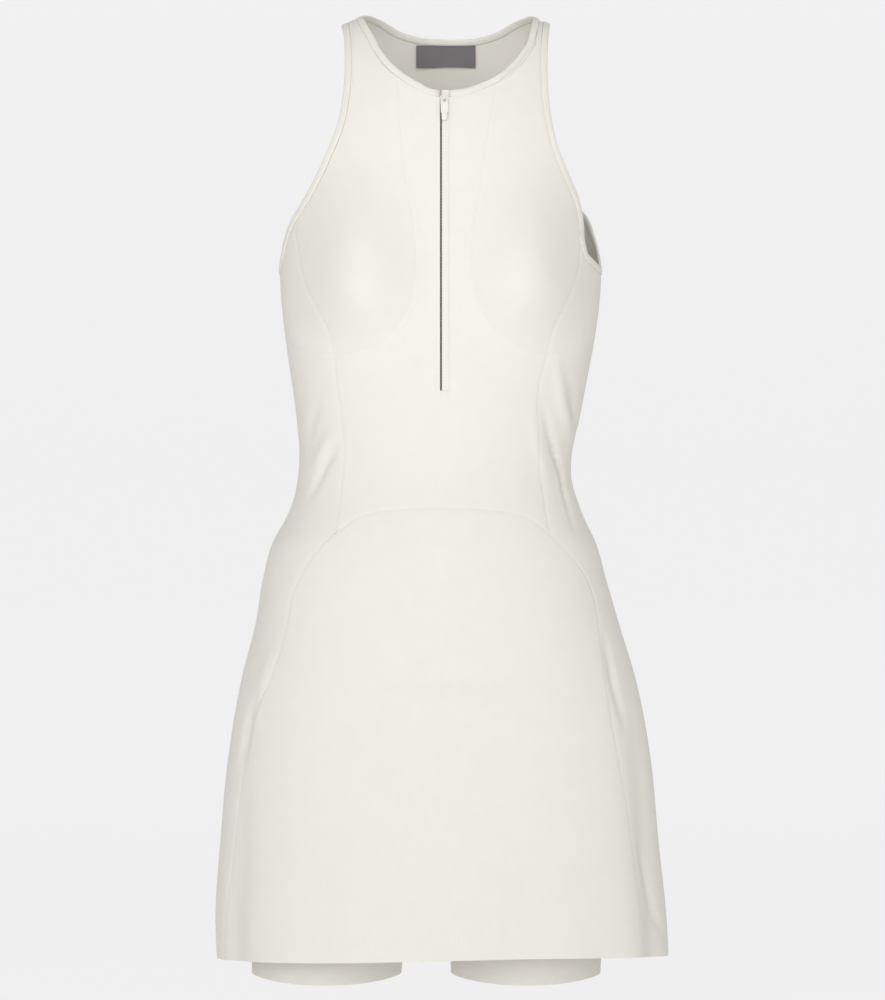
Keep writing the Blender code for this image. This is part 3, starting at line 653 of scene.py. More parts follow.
# A knit: fine upright wales and courses in the cloth's own millimetres, with slight unevenness
def knit(name, look):
    material, nodes, links = nodesOf(name)
    shader = nodes["Principled BSDF"]
    shader.inputs["Roughness"].default_value = look["roughness"]
    shader.inputs["Sheen Weight"].default_value = look["sheen"]
    shader.inputs["Sheen Roughness"].default_value = 0.45
    shader.inputs["Specular IOR Level"].default_value = 0.25
    cloth = nodes.new("ShaderNodeUVMap")
    place = nodes.new("ShaderNodeTexCoord")
    split = nodes.new("ShaderNodeSeparateXYZ")
    links.new(cloth.outputs["UV"], split.inputs[0])
    acrossTurns = mathNode(nodes, links, "MULTIPLY", split.outputs["X"], 2000 * math.pi / look["wale"])
    wales = mathNode(nodes, links, "SINE", acrossTurns, 0.0)
    upTurns = mathNode(nodes, links, "MULTIPLY", split.outputs["Y"], 2000 * math.pi / look["course"])
    courses = mathNode(nodes, links, "SINE", upTurns, 0.0)
    loops = mathNode(nodes, links, "MULTIPLY_ADD", courses, 0.45)
    links.new(wales, loops.node.inputs[2])
    fuzz = nodes.new("ShaderNodeTexNoise")
    fuzz.inputs["Scale"].default_value = 900.0
    fuzz.inputs["Detail"].default_value = 3.0
    links.new(place.outputs["Object"], fuzz.inputs["Vector"])
    uneven = mathNode(nodes, links, "MULTIPLY_ADD", fuzz.outputs["Fac"], look["fuzz"])
    links.new(loops, uneven.node.inputs[2])
    bump = nodes.new("ShaderNodeBump")
    bump.inputs["Strength"].default_value = look["strength"]
    bump.inputs["Distance"].default_value = 0.0001
    links.new(uneven, bump.inputs["Height"])
    links.new(bump.outputs["Normal"], shader.inputs["Normal"])
    clouds = nodes.new("ShaderNodeTexNoise")
    clouds.inputs["Scale"].default_value = look["cloudScale"]
    clouds.inputs["Detail"].default_value = 4.0
    links.new(place.outputs["Object"], clouds.inputs["Vector"])
    mix = nodes.new("ShaderNodeMix")
    mix.data_type = "RGBA"
    links.new(clouds.outputs["Fac"], mix.inputs["Factor"])
    mix.inputs["A"].default_value = (*look["light"], 1.0)
    mix.inputs["B"].default_value = (*look["dark"], 1.0)
    links.new(mix.outputs["Result"], shader.inputs["Base Color"])
    return material


clothLook = {
    "light": (0.80, 0.775, 0.715),
    "dark": (0.765, 0.74, 0.68),
    "roughness": 0.82,
    "sheen": 0.12,
    "wale": 1.05,
    "course": 0.85,
    "fuzz": 1.2,
    "strength": 0.35,
    "cloudScale": 60.0,
}
clothKnit = knit("clothKnit", clothLook)
bindingKnit = knit(
    "bindingKnit",
    {
        **clothLook,
        "light": (0.79, 0.765, 0.705),
        "dark": (0.75, 0.725, 0.665),
        "wale": 0.8,
        "course": 1.4,
    },
)
shortsKnit = knit(
    "shortsKnit",
    {
        **clothLook,
        "light": (0.79, 0.765, 0.705),
        "dark": (0.76, 0.735, 0.675),
        "wale": 0.9,
        "course": 0.7,
    },
)
zipTapeWeave = knit(
    "zipTapeWeave",
    {
        **clothLook,
        "light": (0.74, 0.715, 0.655),
        "dark": (0.7, 0.675, 0.615),
        "wale": 0.7,
        "course": 0.7,
    },
)
labelWeave = knit(
    "labelWeave",
    {
        **clothLook,
        "light": (0.21, 0.2, 0.208),
        "dark": (0.17, 0.162, 0.169),
        "wale": 0.5,
        "course": 0.5,
        "sheen": 0.05,
    },
)

# Zip coil: its dark colour is painted shade, standing in for the shadow inside the narrow zip slot
coilPaintedSlotShade = knit(
    "coilPaintedSlotShade",
    {
        **clothLook,
        "light": (0.30, 0.28, 0.25),
        "dark": (0.24, 0.22, 0.2),
        "wale": 0.6,
        "course": 0.6,
        "sheen": 0.0,
    },
)


def zipFinish():
    material, nodes, links = nodesOf("zipFinish")
    shader = nodes["Principled BSDF"]
    shader.inputs["Roughness"].default_value = 0.38
    shader.inputs["Metallic"].default_value = 0.0
    place = nodes.new("ShaderNodeTexCoord")
    wear = nodes.new("ShaderNodeTexNoise")
    wear.inputs["Scale"].default_value = 500.0
    links.new(place.outputs["Object"], wear.inputs["Vector"])
    mix = nodes.new("ShaderNodeMix")
    mix.data_type = "RGBA"
    links.new(wear.outputs["Fac"], mix.inputs["Factor"])
    mix.inputs["A"].default_value = (0.76, 0.74, 0.68, 1.0)
    mix.inputs["B"].default_value = (0.68, 0.66, 0.6, 1.0)
    links.new(mix.outputs["Result"], shader.inputs["Base Color"])
    return material


zipMaterial = zipFinish()
print("materials made")


# Sewn curves, shared by the panels that meet there


def unwound(curve):
    curve = np.array(curve, float)
    curve[:, 0] = np.degrees(np.unwrap(np.radians(curve[:, 0])))
    return curve


def onBack(curve):
    turned = np.array([behindShoulder(place) for place in curve])
    turned[:, 0] %= 360
    return turned


def runLengths(curve):
    steps = np.linalg.norm(np.diff(figurePoint(curve), axis=0), axis=1)
    return np.concatenate(([0.0], np.cumsum(steps)))


# A curve cut again into even steps, with its sharp corners kept
def evenly(curve, steps):
    curve = unwound(curve)
    lengths = runLengths(curve)
    at = np.linspace(0, lengths[-1], steps + 1)
    ways = np.diff(figurePoint(curve), axis=0)
    ways /= np.maximum(np.linalg.norm(ways, axis=1, keepdims=True), 1e-9)
    for corner in np.nonzero((ways[1:] * ways[:-1]).sum(axis=1) < 0.75)[0] + 1:
        nearest = np.abs(at - lengths[corner]).argmin()
        if 0 < nearest < steps:
            at[nearest] = lengths[corner]
    return np.stack([np.interp(at, lengths, curve[:, k]) for k in (0, 1)], axis=-1)


# Rows of places between four seams that meet at their corners
def betweenSeams(bottom, top, left, right, columns, rows):
    bottom, top = evenly(bottom, columns), evenly(top, columns)
    left = left if len(left) == rows + 1 else evenly(left, rows)
    right = right if len(right) == rows + 1 else evenly(right, rows)
    for curve in (top, left, right):
        curve[:, 0] += 360 * np.round((bottom[0, 0] - curve[0, 0]) / 360)
    u = np.linspace(0, 1, columns + 1)[None, :, None]
    v = np.linspace(0, 1, rows + 1)[:, None, None]
    ruled = (1 - v) * bottom[None] + v * top[None] + (1 - u) * left[:, None] + u * right[:, None]
    corners = (1 - v) * ((1 - u) * bottom[0] + u * bottom[-1]) + v * ((1 - u) * top[0] + u * top[-1])
    return ruled - corners


# Relief that is laid over the plain form

creaseLook = {"strength": 1.6}

creases = (
    # waist, right: a deep fold from under the cup to the hip, with a ridge outside it
    {
        "run": ((88, -343), (94, -368), (101.5, -394), (107, -409), (111, -432), (117.5, -457)),
        "width": 4.0,
        "depth": -2.6,
    },
    {"run": ((100, -303), (106, -343), (111, -365), (114, -384)), "width": 6.5, "depth": 1.8},
    {"run": ((79, -352), (84, -380), (92, -404), (99, -425)), "width": 6.0, "depth": 0.9},
    {"run": ((113, -330), (117, -352), (119, -372)), "width": 5.0, "depth": -1.6},
    # waist, left
    {"run": ((-93.5, -383), (-104, -399), (-112, -416.5), (-119, -429)), "width": 4.0, "depth": -2.0},
    {"run": ((-99, -372), (-108, -388), (-116, -402)), "width": 5.5, "depth": 1.3},
    {"run": ((-110, -345), (-116, -362), (-119, -378)), "width": 5.0, "depth": -0.9},
    # under the cups
    {"run": ((-60, -318), (-45, -312), (-28, -302)), "width": 9.0, "depth": -0.8},
    {"run": ((28, -300), (44, -312), (60, -318)), "width": 9.0, "depth": -0.8},
    # bar tack under the zip
    {"run": ((-2.5, -337.5), (1.6, -337.7), (5.8, -337.5)), "width": 1.7, "depth": 0.6},
    # skirt, front
    {"run": ((-69, -589), (-30, -593), (20, -594), (77, -591)), "width": 10.0, "depth": -0.9},
    {"run": ((-60, -606), (0, -610), (66, -606)), "width": 12.0, "depth": 0.7},
    {"run": ((143, -549), (148, -572), (152, -594), (163, -636)), "width": 5.0, "depth": -2.0},
    {"run": ((177, -731), (183, -764), (190.5, -800), (198.5, -822)), "width": 5.0, "depth": -1.6},
    {"run": ((-161, -600), (-172, -627), (-181, -675)), "width": 6.0, "depth": -1.8},
    {"run": ((-150, -560), (-160, -590), (-170, -640)), "width": 7.0, "depth": 1.0},
    {"run": ((-60, -452), (-20, -447), (30, -447), (70, -453)), "width": 8.0, "depth": 0.5},
    # back, as such a dress folds there
    {"behind": True, "run": ((-70, -372), (-30, -380), (20, -379), (64, -371)), "width": 6.0, "depth": -2.0},
    {"behind": True, "run": ((-78, -388), (-40, -394), (10, -396), (50, -391)), "width": 7.0, "depth": 1.5},
    {"behind": True, "run": ((-84, -408), (-52, -412), (-18, -413)), "width": 6.0, "depth": -1.5},
    {"behind": True, "run": ((12, -352), (46, -345), (84, -332)), "width": 6.5, "depth": -1.3},
    {"behind": True, "run": ((100, -350), (106, -384), (112, -420)), "width": 5.0, "depth": -1.6},
    {"behind": True, "run": ((-101, -352), (-107, -380), (-113, -412)), "width": 5.0, "depth": -1.5},
    {"behind": True, "run": ((-40, -226), (0, -232), (44, -226)), "width": 13.0, "depth": -0.9},
    {"behind": True, "run": ((-150, -585), (-163, -640), (-172, -700)), "width": 7.0, "depth": -1.6},
    {"behind": True, "run": ((148, -570), (160, -630), (171, -690)), "width": 7.0, "depth": -1.5},
)

for crease in creases:
    knots = np.array([seenAt(x, z, crease.get("behind", False)) for x, z in crease["run"]])
    crease["points"] = figurePoint(evenly(knots, 16))


# slow unevenness of hung cloth: reach across, reach up, turn, rise in mm
slowWaves = ((9, 61, 0.3, 0.10), (47, 90, 1.9, 0.22), (83, 38, 4.1, 0.22), (29, 140, 2.2, 0.25))


# Height of the folds at points of the cloth, in mm
def reliefAt(points):
    total = np.zeros(len(points))
    for crease in creases:
        line = crease["points"]
        reach = 3 * crease["width"]
        near = ((points > line.min(axis=0) - reach) & (points < line.max(axis=0) + reach)).all(axis=1)
        if not near.any():
            continue
        away = np.linalg.norm(points[near][:, None] - line[None], axis=2)
        part = np.linspace(0, 1, len(line))
        taper = np.sin(np.pi * np.clip(part, 0.02, 0.98)) ** 0.7
        swell = (np.exp(-((away / crease["width"]) ** 2)) * taper).max(axis=1)
        total[near] += creaseLook["strength"] * crease["depth"] * swell
    for across, up, turn, rise in slowWaves:
        total += rise * np.sin(points[:, 0] / across * 0.5 + points[:, 2] / up + turn + points[:, 1] / 71)
    return total


seamLook = {"dip": 0.42, "reach": 1.3, "pucker": 0.07, "puckerStep": 7.0, "puckerReach": 5.0}


# How far each point is from the nearest of the edge points, and which one that is
def nearestEdge(points, edge):
    distance = np.empty(len(points))
    index = np.empty(len(points), int)
    for start in range(0, len(points), 4000):
        part = points[start : start + 4000]
        away = ((part[:, None] - edge[None]) ** 2).sum(axis=2)
        index[start : start + 4000] = away.argmin(axis=1)
        distance[start : start + 4000] = np.sqrt(away.min(axis=1))
    return distance, index


def newGrid(name, columns, rows):
    bpy.ops.object.select_all(action="DESELECT")
    bpy.ops.mesh.primitive_grid_add(x_subdivisions=columns, y_subdivisions=rows, size=2)
    piece = bpy.context.object
    piece.name = name
    piece.data.name = name
    return piece


# Grid points moved to their places in space, given in mm by row and column
def shapeGrid(piece, spots, cloth):
    mesh = piece.data
    rows, columns = spots.shape[0] - 1, spots.shape[1] - 1
    start = np.empty(len(mesh.vertices) * 3)
    mesh.vertices.foreach_get("co", start)
    start = start.reshape(-1, 3)
    column = np.rint((start[:, 0] + 1) / 2 * columns).astype(int)
    row = np.rint((start[:, 1] + 1) / 2 * rows).astype(int)
    mesh.vertices.foreach_set("co", (spots[row, column] * 0.001).ravel())
    corner = np.empty(len(mesh.loops), int)
    mesh.loops.foreach_get("vertex_index", corner)
    mesh.uv_layers[0].data.foreach_set("uv", (cloth[row, column][corner] * 0.001).ravel())
    mesh.update()
    return row, column


def deleteFaces(piece, chosen):
    bpy.ops.object.mode_set(mode="EDIT")
    bpy.ops.mesh.select_mode(type="FACE")
    bpy.ops.mesh.select_all(action="DESELECT")
    bpy.ops.object.mode_set(mode="OBJECT")
    piece.data.polygons.foreach_set("select", chosen)
    bpy.ops.object.mode_set(mode="EDIT")
    bpy.ops.mesh.delete(type="FACE")
    bpy.ops.object.mode_set(mode="OBJECT")


def thicken(piece, wall):
    bpy.ops.object.modifier_add(type="SOLIDIFY")
    solidify = piece.modifiers[-1]
    solidify.thickness = wall * 0.001
    solidify.offset = -1
    bpy.ops.object.modifier_apply(modifier=solidify.name)
    piece.data.shade_smooth()
    piece.data.set_sharp_from_angle(angle=math.radians(50))


# A panel: a grid laid between its seams, dipped at them, creased and given its wall
def sewPanel(name, places, node, gap=None, material=None):
    rows, columns = places.shape[0] - 1, places.shape[1] - 1
    points = figurePoint(places)
    normals = outward(figurePoint, places.reshape(-1, 2)).reshape(points.shape)
    rim = np.zeros((rows + 1, columns + 1), bool)
    rim[0, :] = rim[-1, :] = rim[:, 0] = rim[:, -1] = True
    if gap:
        rim[gap["row"] :, gap["left"]] = rim[gap["row"] :, gap["right"]] = True
        rim[gap["row"], gap["left"] : gap["right"] + 1] = True
    edge = points[rim]
    flat = points.reshape(-1, 3)
    distance, _ = nearestEdge(flat, edge)
    dip = seamLook["dip"] * np.exp(-((distance / seamLook["reach"]) ** 2))
    along = (flat * np.array((1.0, 0.6, 1.0))).sum(axis=1)
    pucker = seamLook["pucker"] * np.sin(along * 2 * np.pi / seamLook["puckerStep"])
    pucker *= np.exp(-distance / seamLook["puckerReach"]) * (1 - np.exp(-distance / 1.5))
    raised = (reliefAt(flat) - dip + pucker)[:, None]
    shaped = (flat + normals.reshape(-1, 3) * raised).reshape(points.shape)
    piece = newGrid(name, columns, rows)
    cloth = places * np.array((bodyShape["girthMm"], 1.0))
    row, column = shapeGrid(piece, shaped, cloth)
    if gap:
        faceRow = np.empty(len(piece.data.polygons))
        faceColumn = np.empty(len(piece.data.polygons))
        for number, face in enumerate(piece.data.polygons):
            held = list(face.vertices)
            faceRow[number] = row[held].mean()
            faceColumn[number] = column[held].mean()
        inGap = (faceRow > gap["row"]) & (faceColumn > gap["left"]) & (faceColumn < gap["right"])
        deleteFaces(piece, inGap)
    thicken(piece, sewing["wall"])
    piece.data.materials.clear()
    piece.data.materials.append(material or clothKnit)
    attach(piece, "dress")
    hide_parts(node)
    return piece


fine = (4.0, 4.0)
curves = cutCurves()
print("seams drawn")

# Front bodice: two halves of one grid that join below the zip
frontGrid = {
    "left": 44,
    "right": 44,
    "slot": 3,
    "rows": 150,
    "footShare": 0.46,
    "underShare": 0.38,
    "underFoot": -353,
    "overShare": 0.56,
    "overFoot": -315,
}


def slotLine(x, rows, split):
    arch = curves["arch"]
    archPoints = figurePoint(arch)
    low = archPoints[np.abs(archPoints[:, 0] - x).argmin()][2]
    part = np.arange(rows + 1) / rows
    zipFoot = split / rows
    shares = (0, frontGrid["underShare"], zipFoot, frontGrid["overShare"], 1)
    stops = (low, frontGrid["underFoot"], zipCut["slotEnd"], frontGrid["overFoot"], curves["slotTop"])
    heights = np.interp(part, shares, stops)
    return np.array([placeAt(x, height) for height in heights])


def cutArch(x):
    arch = unwound(curves["arch"])
    points = figurePoint(arch)
    middle = placeAt(x, points[np.abs(points[:, 0] - x).argmin()][2])
    leftPart = np.concatenate((arch[points[:, 0] < x - 0.5], [middle]))
    rightPart = np.concatenate(([middle], arch[points[:, 0] > x + 0.5]))
    return leftPart, rightPart


def buildFront():
    rows = frontGrid["rows"]
    split = round(rows * frontGrid["footShare"])
    leftSide = np.concatenate((curves["left"]["waist"][::-1], curves["left"]["cup"][::-1]))
    rightSide = np.concatenate((curves["right"]["waist"][::-1], curves["right"]["cup"][::-1]))
    leftLine = slotLine(zipCut["slotLeft"], rows, split)
    rightLine = slotLine(zipCut["slotRight"], rows, split)
    leftArch, _ = cutArch(zipCut["slotLeft"])
    _, rightArch = cutArch(zipCut["slotRight"])
    leftNeck, rightNeck = curves["left"]["neckFront"], curves["right"]["neckFront"]
    leftHalf = betweenSeams(leftArch, leftNeck, leftSide, leftLine, frontGrid["left"], rows)
    rightHalf = betweenSeams(rightArch, rightNeck, rightLine, rightSide, frontGrid["right"], rows)
    steps = np.linspace(0, 1, frontGrid["slot"] + 1)[1:-1]
    middle = leftHalf[:, -1:] + (rightHalf[:, :1] - leftHalf[:, -1:]) * steps[None, :, None]
    places = np.concatenate((leftHalf, middle, rightHalf), axis=1)
    gap = {"row": split, "left": frontGrid["left"], "right": frontGrid["left"] + frontGrid["slot"]}
    return sewPanel("frontBodice", places, "front_bodice", gap)


panelGrids = {
    "cup": (40, 120),
    "sideBust": (44, 40),
    "sidePanel": (40, 180),
    "skirt": (140, 130),
    "back": (120, 270),
}


def buildSides():
    for side in ("left", "right"):
        made = curves[side]
        name = side.capitalize()
        shoulder = made["armholeSeam"][:1]
        strap = np.concatenate((made["neckSide"][-1:], shoulder))
        cupInner = np.concatenate((made["cup"][::-1], made["neckSide"][1:]))
        cup = [made["sideCup"][::-1], strap, cupInner, made["armholeFront"][::-1]]
        bust = [made["underbust"], made["armholeUnder"][::-1], made["sideCup"][::-1], made["backTop"][::-1]]
        frontSeam = np.concatenate((made["waist"], made["skirt"]))
        panel = [made["hemSide"], made["underbust"], frontSeam[::-1], made["backLow"][::-1]]
        for kind, node, (bottom, top, inner, outer) in (
            ("cup", "cup", cup),
            ("sideBust", "side_bust", bust),
            ("sidePanel", "side_panel", panel),
        ):
            columns, rows = panelGrids[kind]
            if side == "left":
                bottom, top, inner, outer = bottom[::-1], top[::-1], outer, inner
            places = betweenSeams(bottom, top, inner, outer, columns, rows)
            sewPanel(kind + name, places, f"{node}_{side}")


def buildSkirtAndBack():
    columns, rows = panelGrids["skirt"]
    leftSkirt, rightSkirt = curves["left"]["skirt"][::-1], curves["right"]["skirt"][::-1]
    places = betweenSeams(curves["hemFront"], curves["arch"], leftSkirt, rightSkirt, columns, rows)
    sewPanel("skirtFront", places, "skirt_front")
    right, left = (
        np.concatenate((made["backLow"][::-1], made["backTop"][::-1], made["armholeBack"]))
        for made in (curves["right"], curves["left"])
    )
    hem = hemPlaces(np.linspace(hiddenSeams["backSeam"], 360 - hiddenSeams["backSeam"], 60))
    columns, rows = panelGrids["back"]
    neck = np.concatenate((right[-1:], curves["neckBack"], left[-1:]))
    places = betweenSeams(hem, onBack(neck), onBack(right), onBack(left), columns, rows)
    sewPanel("backPanel", places, "back")


# Bindings: folded strips, as rings of a rounded profile run along the edge
# share of the width from the edge to the seam, and how far it stands out of the figure in mm
bindingProfile = (
    (0.97, 0.0),
    (0.9, 0.42),
    (0.72, 0.58),
    (0.45, 0.66),
    (0.2, 0.6),
    (0.04, 0.25),
    (-0.04, -0.5),
    (-0.02, -1.3),
    (0.12, -1.85),
    (0.45, -2.0),
    (0.8, -1.95),
    (0.95, -1.7),
    (0.97, -0.8),
)


def bindEdge(name, edge, seamLine, node, closed, flip):
    total = len(edge)
    profile = [*bindingProfile, bindingProfile[0]]
    shares = np.array([share for share, _ in profile])
    heights = np.array([height for _, height in profile])
    cross = np.array([beside(other, place) - place for place, other in zip(edge, seamLine)])
    places = edge[None] + cross[None] * shares[:, None, None]
    points = figurePoint(places)
    normals = outward(figurePoint, places.reshape(-1, 2)).reshape(points.shape)
    lengths = np.concatenate(([0], np.cumsum(np.linalg.norm(np.diff(points[3], axis=0), axis=1))))
    uneven = 1 + 0.05 * np.sin(lengths / 9.0) + 0.04 * np.sin(lengths / 4.1 + 1)
    spots = points + normals * (heights[:, None] * uneven[None])[..., None]
    if closed:
        spots = np.concatenate((spots, spots[:, :1]), axis=1)
        lengths = np.append(lengths, lengths[-1] + np.linalg.norm(points[3, -1] - points[3, 0]))
        total += 1
    turns = np.diff(np.array(profile) * (sewing["bindingWidth"], 1), axis=0)
    girthways = np.cumsum(np.concatenate(([0], np.linalg.norm(turns, axis=1))))
    cloth = np.stack(np.broadcast_arrays(lengths[None, :], girthways[:, None]), axis=-1)
    if flip:
        spots, cloth = spots[::-1], cloth[::-1]
    piece = newGrid(name, total - 1, len(profile) - 1)
    shapeGrid(piece, spots, cloth)
    bpy.ops.object.mode_set(mode="EDIT")
    bpy.ops.mesh.select_mode(type="VERT")
    bpy.ops.mesh.select_all(action="SELECT")
    bpy.ops.mesh.remove_doubles(threshold=0.00002)
    if not closed:
        bpy.ops.mesh.select_all(action="DESELECT")
        bpy.ops.mesh.select_non_manifold(extend=False)
        bpy.ops.mesh.fill_holes(sides=0)
    bpy.ops.mesh.select_all(action="SELECT")
    bpy.ops.mesh.normals_make_consistent(inside=False)
    bpy.ops.object.mode_set(mode="OBJECT")
    piece.data.shade_smooth()
    piece.data.materials.clear()
    piece.data.materials.append(bindingKnit)
    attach(piece, "dress")
    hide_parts(node)
    return piece


def bindDress():
    bindEdge("neckBinding", curves["neck"], curves["neckSeam"], "neck_binding", False, True)
    for side in ("left", "right"):
        made = curves[side]
        name = f"armholeBinding{side.capitalize()}"
        bindEdge(name, made["armhole"], made["armholeSeam"], f"armhole_binding_{side}", True, side == "right")


# A narrow strip of cloth on the figure, at x from left to right and at heights from the bottom up
def layStrip(name, node, across, heights, look, behind=False):
    places = np.array([[placeAt(x, height, behind) for x in across] for height in heights])
    if behind:
        places[..., 0] %= 360
    points = figurePoint(places)
    normals = outward(figurePoint, places.reshape(-1, 2)).reshape(points.shape)
    spots = points + normals * look["raised"]
    if "wave" in look:
        fall = np.linspace(1, 0, len(heights))[:, None] ** 2
        spots[..., 2] += look["wave"] * fall * np.sin(points[..., 0] / 8.0 + 0.6)
        spots[..., 1] -= 0.5 * fall * (1 + np.sin(points[..., 0] / 6.5))
    piece = newGrid(name, len(across) - 1, len(heights) - 1)
    shapeGrid(piece, spots, places * np.array((bodyShape["girthMm"], 1.0)))
    thicken(piece, look["wall"])
    piece.data.materials.clear()
    piece.data.materials.append(look["material"])
    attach(piece, "dress")
    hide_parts(node)
    return piece


# Zip: tape and coil behind the slot, and the welt that hides its right side
zipLook = {"loopStep": 1.3, "loopHalf": 1.6, "loopFlat": 0.36, "thread": 0.34, "coilDeep": -2.4}


def buildZip():
    top = curves["slotTop"]
    tape = {"raised": -3.4, "wall": 0.9, "material": zipTapeWeave, "slot": "zip_tape"}
    across = np.linspace(-zipCut["tapeHalf"], zipCut["tapeHalf"], 9)
    layStrip("zipTape", "zip_tape", across, np.linspace(zipCut["zipEnd"], top - 0.3, 100), tape)
    # cut 12.5 mm wide and folded double
    welt = {
        "raised": 0.0,
        "wall": 1.3,
        "material": clothKnit,
        "slot": "cloth",
        "cutWidth": 0.0125,
        "held": "folded",
    }
    across = np.linspace(zipCut["weltLeft"], zipCut["slotRight"] - 0.08, 7)
    heights = np.linspace(zipCut["slotEnd"] + 0.2, top + sewing["bindingWidth"], 110)
    layStrip("zipWelt", "zip_welt", across, heights, welt)
    bpy.ops.object.select_all(action="DESELECT")
    bpy.ops.mesh.primitive_torus_add(
        major_segments=8,
        minor_segments=4,
        major_radius=zipLook["loopHalf"] * 0.001,
        minor_radius=zipLook["thread"] * 0.001,
    )
    coil = bpy.context.object
    coil.name = "zipCoil"
    coil.data.name = "zipCoil"
    bpy.ops.object.mode_set(mode="EDIT")
    bpy.ops.mesh.select_all(action="SELECT")
    bpy.ops.transform.resize(value=(1, zipLook["loopFlat"], 1))
    bpy.ops.object.mode_set(mode="OBJECT")
    coil.data.shade_smooth()
    centre = (zipCut["coilLeft"] + zipCut["coilRight"]) / 2
    loops = []
    for height in np.arange(zipCut["slotEnd"] + 1, top - 1, zipLook["loopStep"]):
        place = placeAt(centre, height)
        spot = figurePoint(place) + outward(figurePoint, place) * zipLook["coilDeep"]
        loop = coil.copy()
        loop.data = coil.data.copy()
        bpy.context.scene.collection.objects.link(loop)
        loop.location = spot * 0.001
        loops.append(loop)
    bpy.data.objects.remove(coil)
    bpy.ops.object.select_all(action="DESELECT")
    for loop in loops:
        loop.select_set(True)
    bpy.context.view_layer.objects.active = loops[0]
    bpy.ops.object.join()
    bpy.ops.object.transform_apply(location=True, rotation=True, scale=True)
    coil = bpy.context.object
    coil.name = "zipCoil"
    # the coil gets the dark painted shade of the zip slot as its colour
    coil.data.materials.clear()
    coil.data.materials.append(coilPaintedSlotShade)
    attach(coil, "dress")
    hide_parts("zip_coil")


def buildLabel():
    across = np.linspace(labelCut["labelRight"], labelCut["labelLeft"], 25)
    heights = np.linspace(labelCut["labelTop"] - labelCut["labelDrop"], labelCut["labelTop"], 11)
    look = {"raised": -2.3, "wall": labelCut["labelWall"], "wave": 0.45, "material": labelWeave, "slot": "label"}
    layStrip("backLabel", "back_label", across, heights, look, behind=True)


# Inner shorts: one piece to a leg, closed at its inseam
shortsGrid = {"columns": 96, "rows": 110}


def legSurface(side):
    sign = 1 if side == "right" else -1

    def surface(places):
        turn = np.radians(places[..., 0]) * sign
        height = places[..., 1]
        middle, centre, half, front, back = [
            tableValue(shortsRows, column, height) for column in range(1, 6)
        ]
        out = power(np.cos(turn), shortsCut["shortsRoundness"])
        deep = power(np.sin(turn), shortsCut["shortsRoundness"])
        x = middle + sign * (centre + half * out)
        y = np.where(deep < 0, front, back) * deep
        drop = np.clip((shortsCut["crotch"] - height) / (shortsCut["crotch"] - shortsRows[0][0]), 0, 1)
        z = height + shortsCut["shortsHemRise"] * drop * drop * np.cos(turn) ** 2
        return np.stack((x, y, z), axis=-1)

    return surface


def legOpening(height):
    centre, half = (float(tableValue(shortsRows, column, height)) for column in (2, 3))
    share = min((centre - 0.08) / half, 1.0)
    closed = math.degrees(math.acos(-power(share, 4 / shortsCut["shortsRoundness"])))
    return min(closed, 180 - math.degrees(0.08 / half))


def buildShorts():
    rows, columns = shortsGrid["rows"], shortsGrid["columns"]
    heights = np.linspace(shortsRows[0][0], shortsCut["shortsTop"], rows + 1)
    for side in ("left", "right"):
        places = []
        for height in heights:
            reach = legOpening(height)
            places.append([(turn, height) for turn in np.linspace(-reach, reach, columns + 1)])
        places = np.array(places)
        surface = legSurface(side)
        points = surface(places)
        normals = outward(surface, places.reshape(-1, 2)).reshape(points.shape)
        hem = np.exp(-(((places[..., 1] - shortsRows[0][0] - 14) / 0.9) ** 2)) * -0.35
        spots = points + normals * hem[..., None]
        piece = newGrid(f"shortsLeg{side.capitalize()}", columns, rows)
        shapeGrid(piece, spots, places * np.array((1.3, 1.0)))
        thicken(piece, 1.2)
        piece.data.materials.clear()
        piece.data.materials.append(shortsKnit)
        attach(piece, "dress")
        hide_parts(f"shorts_leg_{side}")


# Studio: pale sweep, soft light, and the camera where the photograph was taken from
studio = {"distance": 5.5, "height": -0.431, "frameHeight": 0.89, "floor": -1.0}
paper = {"run": 34, "runStart": -18, "bend": 2.4, "wallStart": 9.0, "halfWidth": 16}


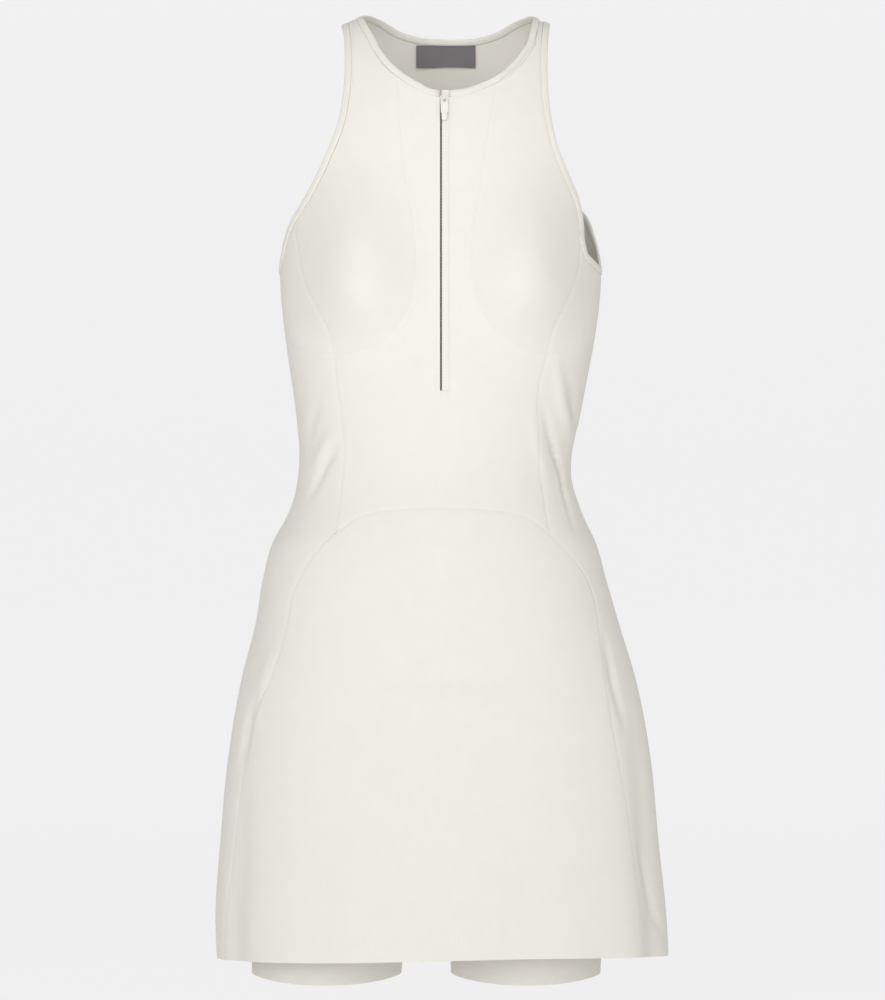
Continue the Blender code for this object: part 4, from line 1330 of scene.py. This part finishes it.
def buildStudio():
    bpy.ops.object.select_all(action="DESELECT")
    bpy.ops.mesh.primitive_grid_add(x_subdivisions=2, y_subdivisions=60, size=2)
    sweep = bpy.context.object
    sweep.name = "studioSweep"
    mesh = sweep.data
    for vertex in mesh.vertices:
        run = (vertex.co.y + 1) / 2 * paper["run"] + paper["runStart"]
        turn = min(max(run / paper["bend"], 0), math.pi / 2)
        y = min(run, 0) + paper["bend"] * math.sin(turn) + paper["wallStart"]
        rise = paper["bend"] * (1 - math.cos(turn)) + max(run - paper["bend"] * math.pi / 2, 0)
        vertex.co = (vertex.co.x * paper["halfWidth"], y, studio["floor"] + rise)
    mesh.shade_smooth()
    material, nodes, links = nodesOf("palePaper")
    shader = nodes["Principled BSDF"]
    shader.inputs["Base Color"].default_value = (0.3, 0.3, 0.3, 1.0)
    shader.inputs["Roughness"].default_value = 1.0
    shader.inputs["Specular IOR Level"].default_value = 0.0
    shader.inputs["Emission Color"].default_value = (0.88, 0.88, 0.88, 1.0)
    shader.inputs["Emission Strength"].default_value = 0.8
    mesh.materials.append(material)
    world = bpy.data.worlds.new("studioAir")
    world.use_nodes = True
    world.node_tree.nodes["Background"].inputs["Color"].default_value = (1.0, 1.0, 1.0, 1.0)
    world.node_tree.nodes["Background"].inputs["Strength"].default_value = 0.4
    bpy.context.scene.world = world
    for name, place, aim, size, power in (
        ("keyLight", (-1.3, -3.8, 0.15), (0, 0, -0.4), 2.2, 38),
        ("fillLight", (1.5, -3.8, -0.2), (0, 0, -0.45), 2.2, 21),
        ("lowLight", (0.0, -3.4, -0.85), (0, 0, -0.5), 1.6, 8),
        ("neckLight", (0.0, -1.7, 0.9), (0, 0.06, -0.06), 0.7, 10),
    ):
        light = bpy.data.lights.new(name, "AREA")
        light.size = size
        light.energy = power
        lamp = bpy.data.objects.new(name, light)
        bpy.context.scene.collection.objects.link(lamp)
        lamp.location = place
        away = np.array(aim) - np.array(place)
        flat = math.hypot(away[0], away[1])
        lamp.rotation_euler = (math.atan2(flat, -away[2]), 0, math.atan2(-away[0], away[1]))
    view = bpy.data.cameras.new("photoView")
    view.sensor_fit = "HORIZONTAL"
    view.sensor_width = 36
    view.lens = 36 * studio["distance"] / (studio["frameHeight"] * 885 / 1000)
    camera = bpy.data.objects.new("photoView", view)
    bpy.context.scene.collection.objects.link(camera)
    camera.location = (0, -studio["distance"], studio["height"])
    camera.rotation_euler = (math.pi / 2, 0, 0)
    bpy.context.scene.camera = camera
    bpy.context.scene.view_settings.view_transform = "Standard"


buildFront()
buildSides()
buildSkirtAndBack()
print("panels sewn")
bindDress()
print("edges bound")
buildShorts()
print("shorts made")
buildZip()
buildLabel()
print("zip and label made")
for node in ("zip_slider", "zip_pull"):
    bpy.data.objects[node].data.materials.clear()
    bpy.data.objects[node].data.materials.append(zipMaterial)
buildStudio()
print("studio set")
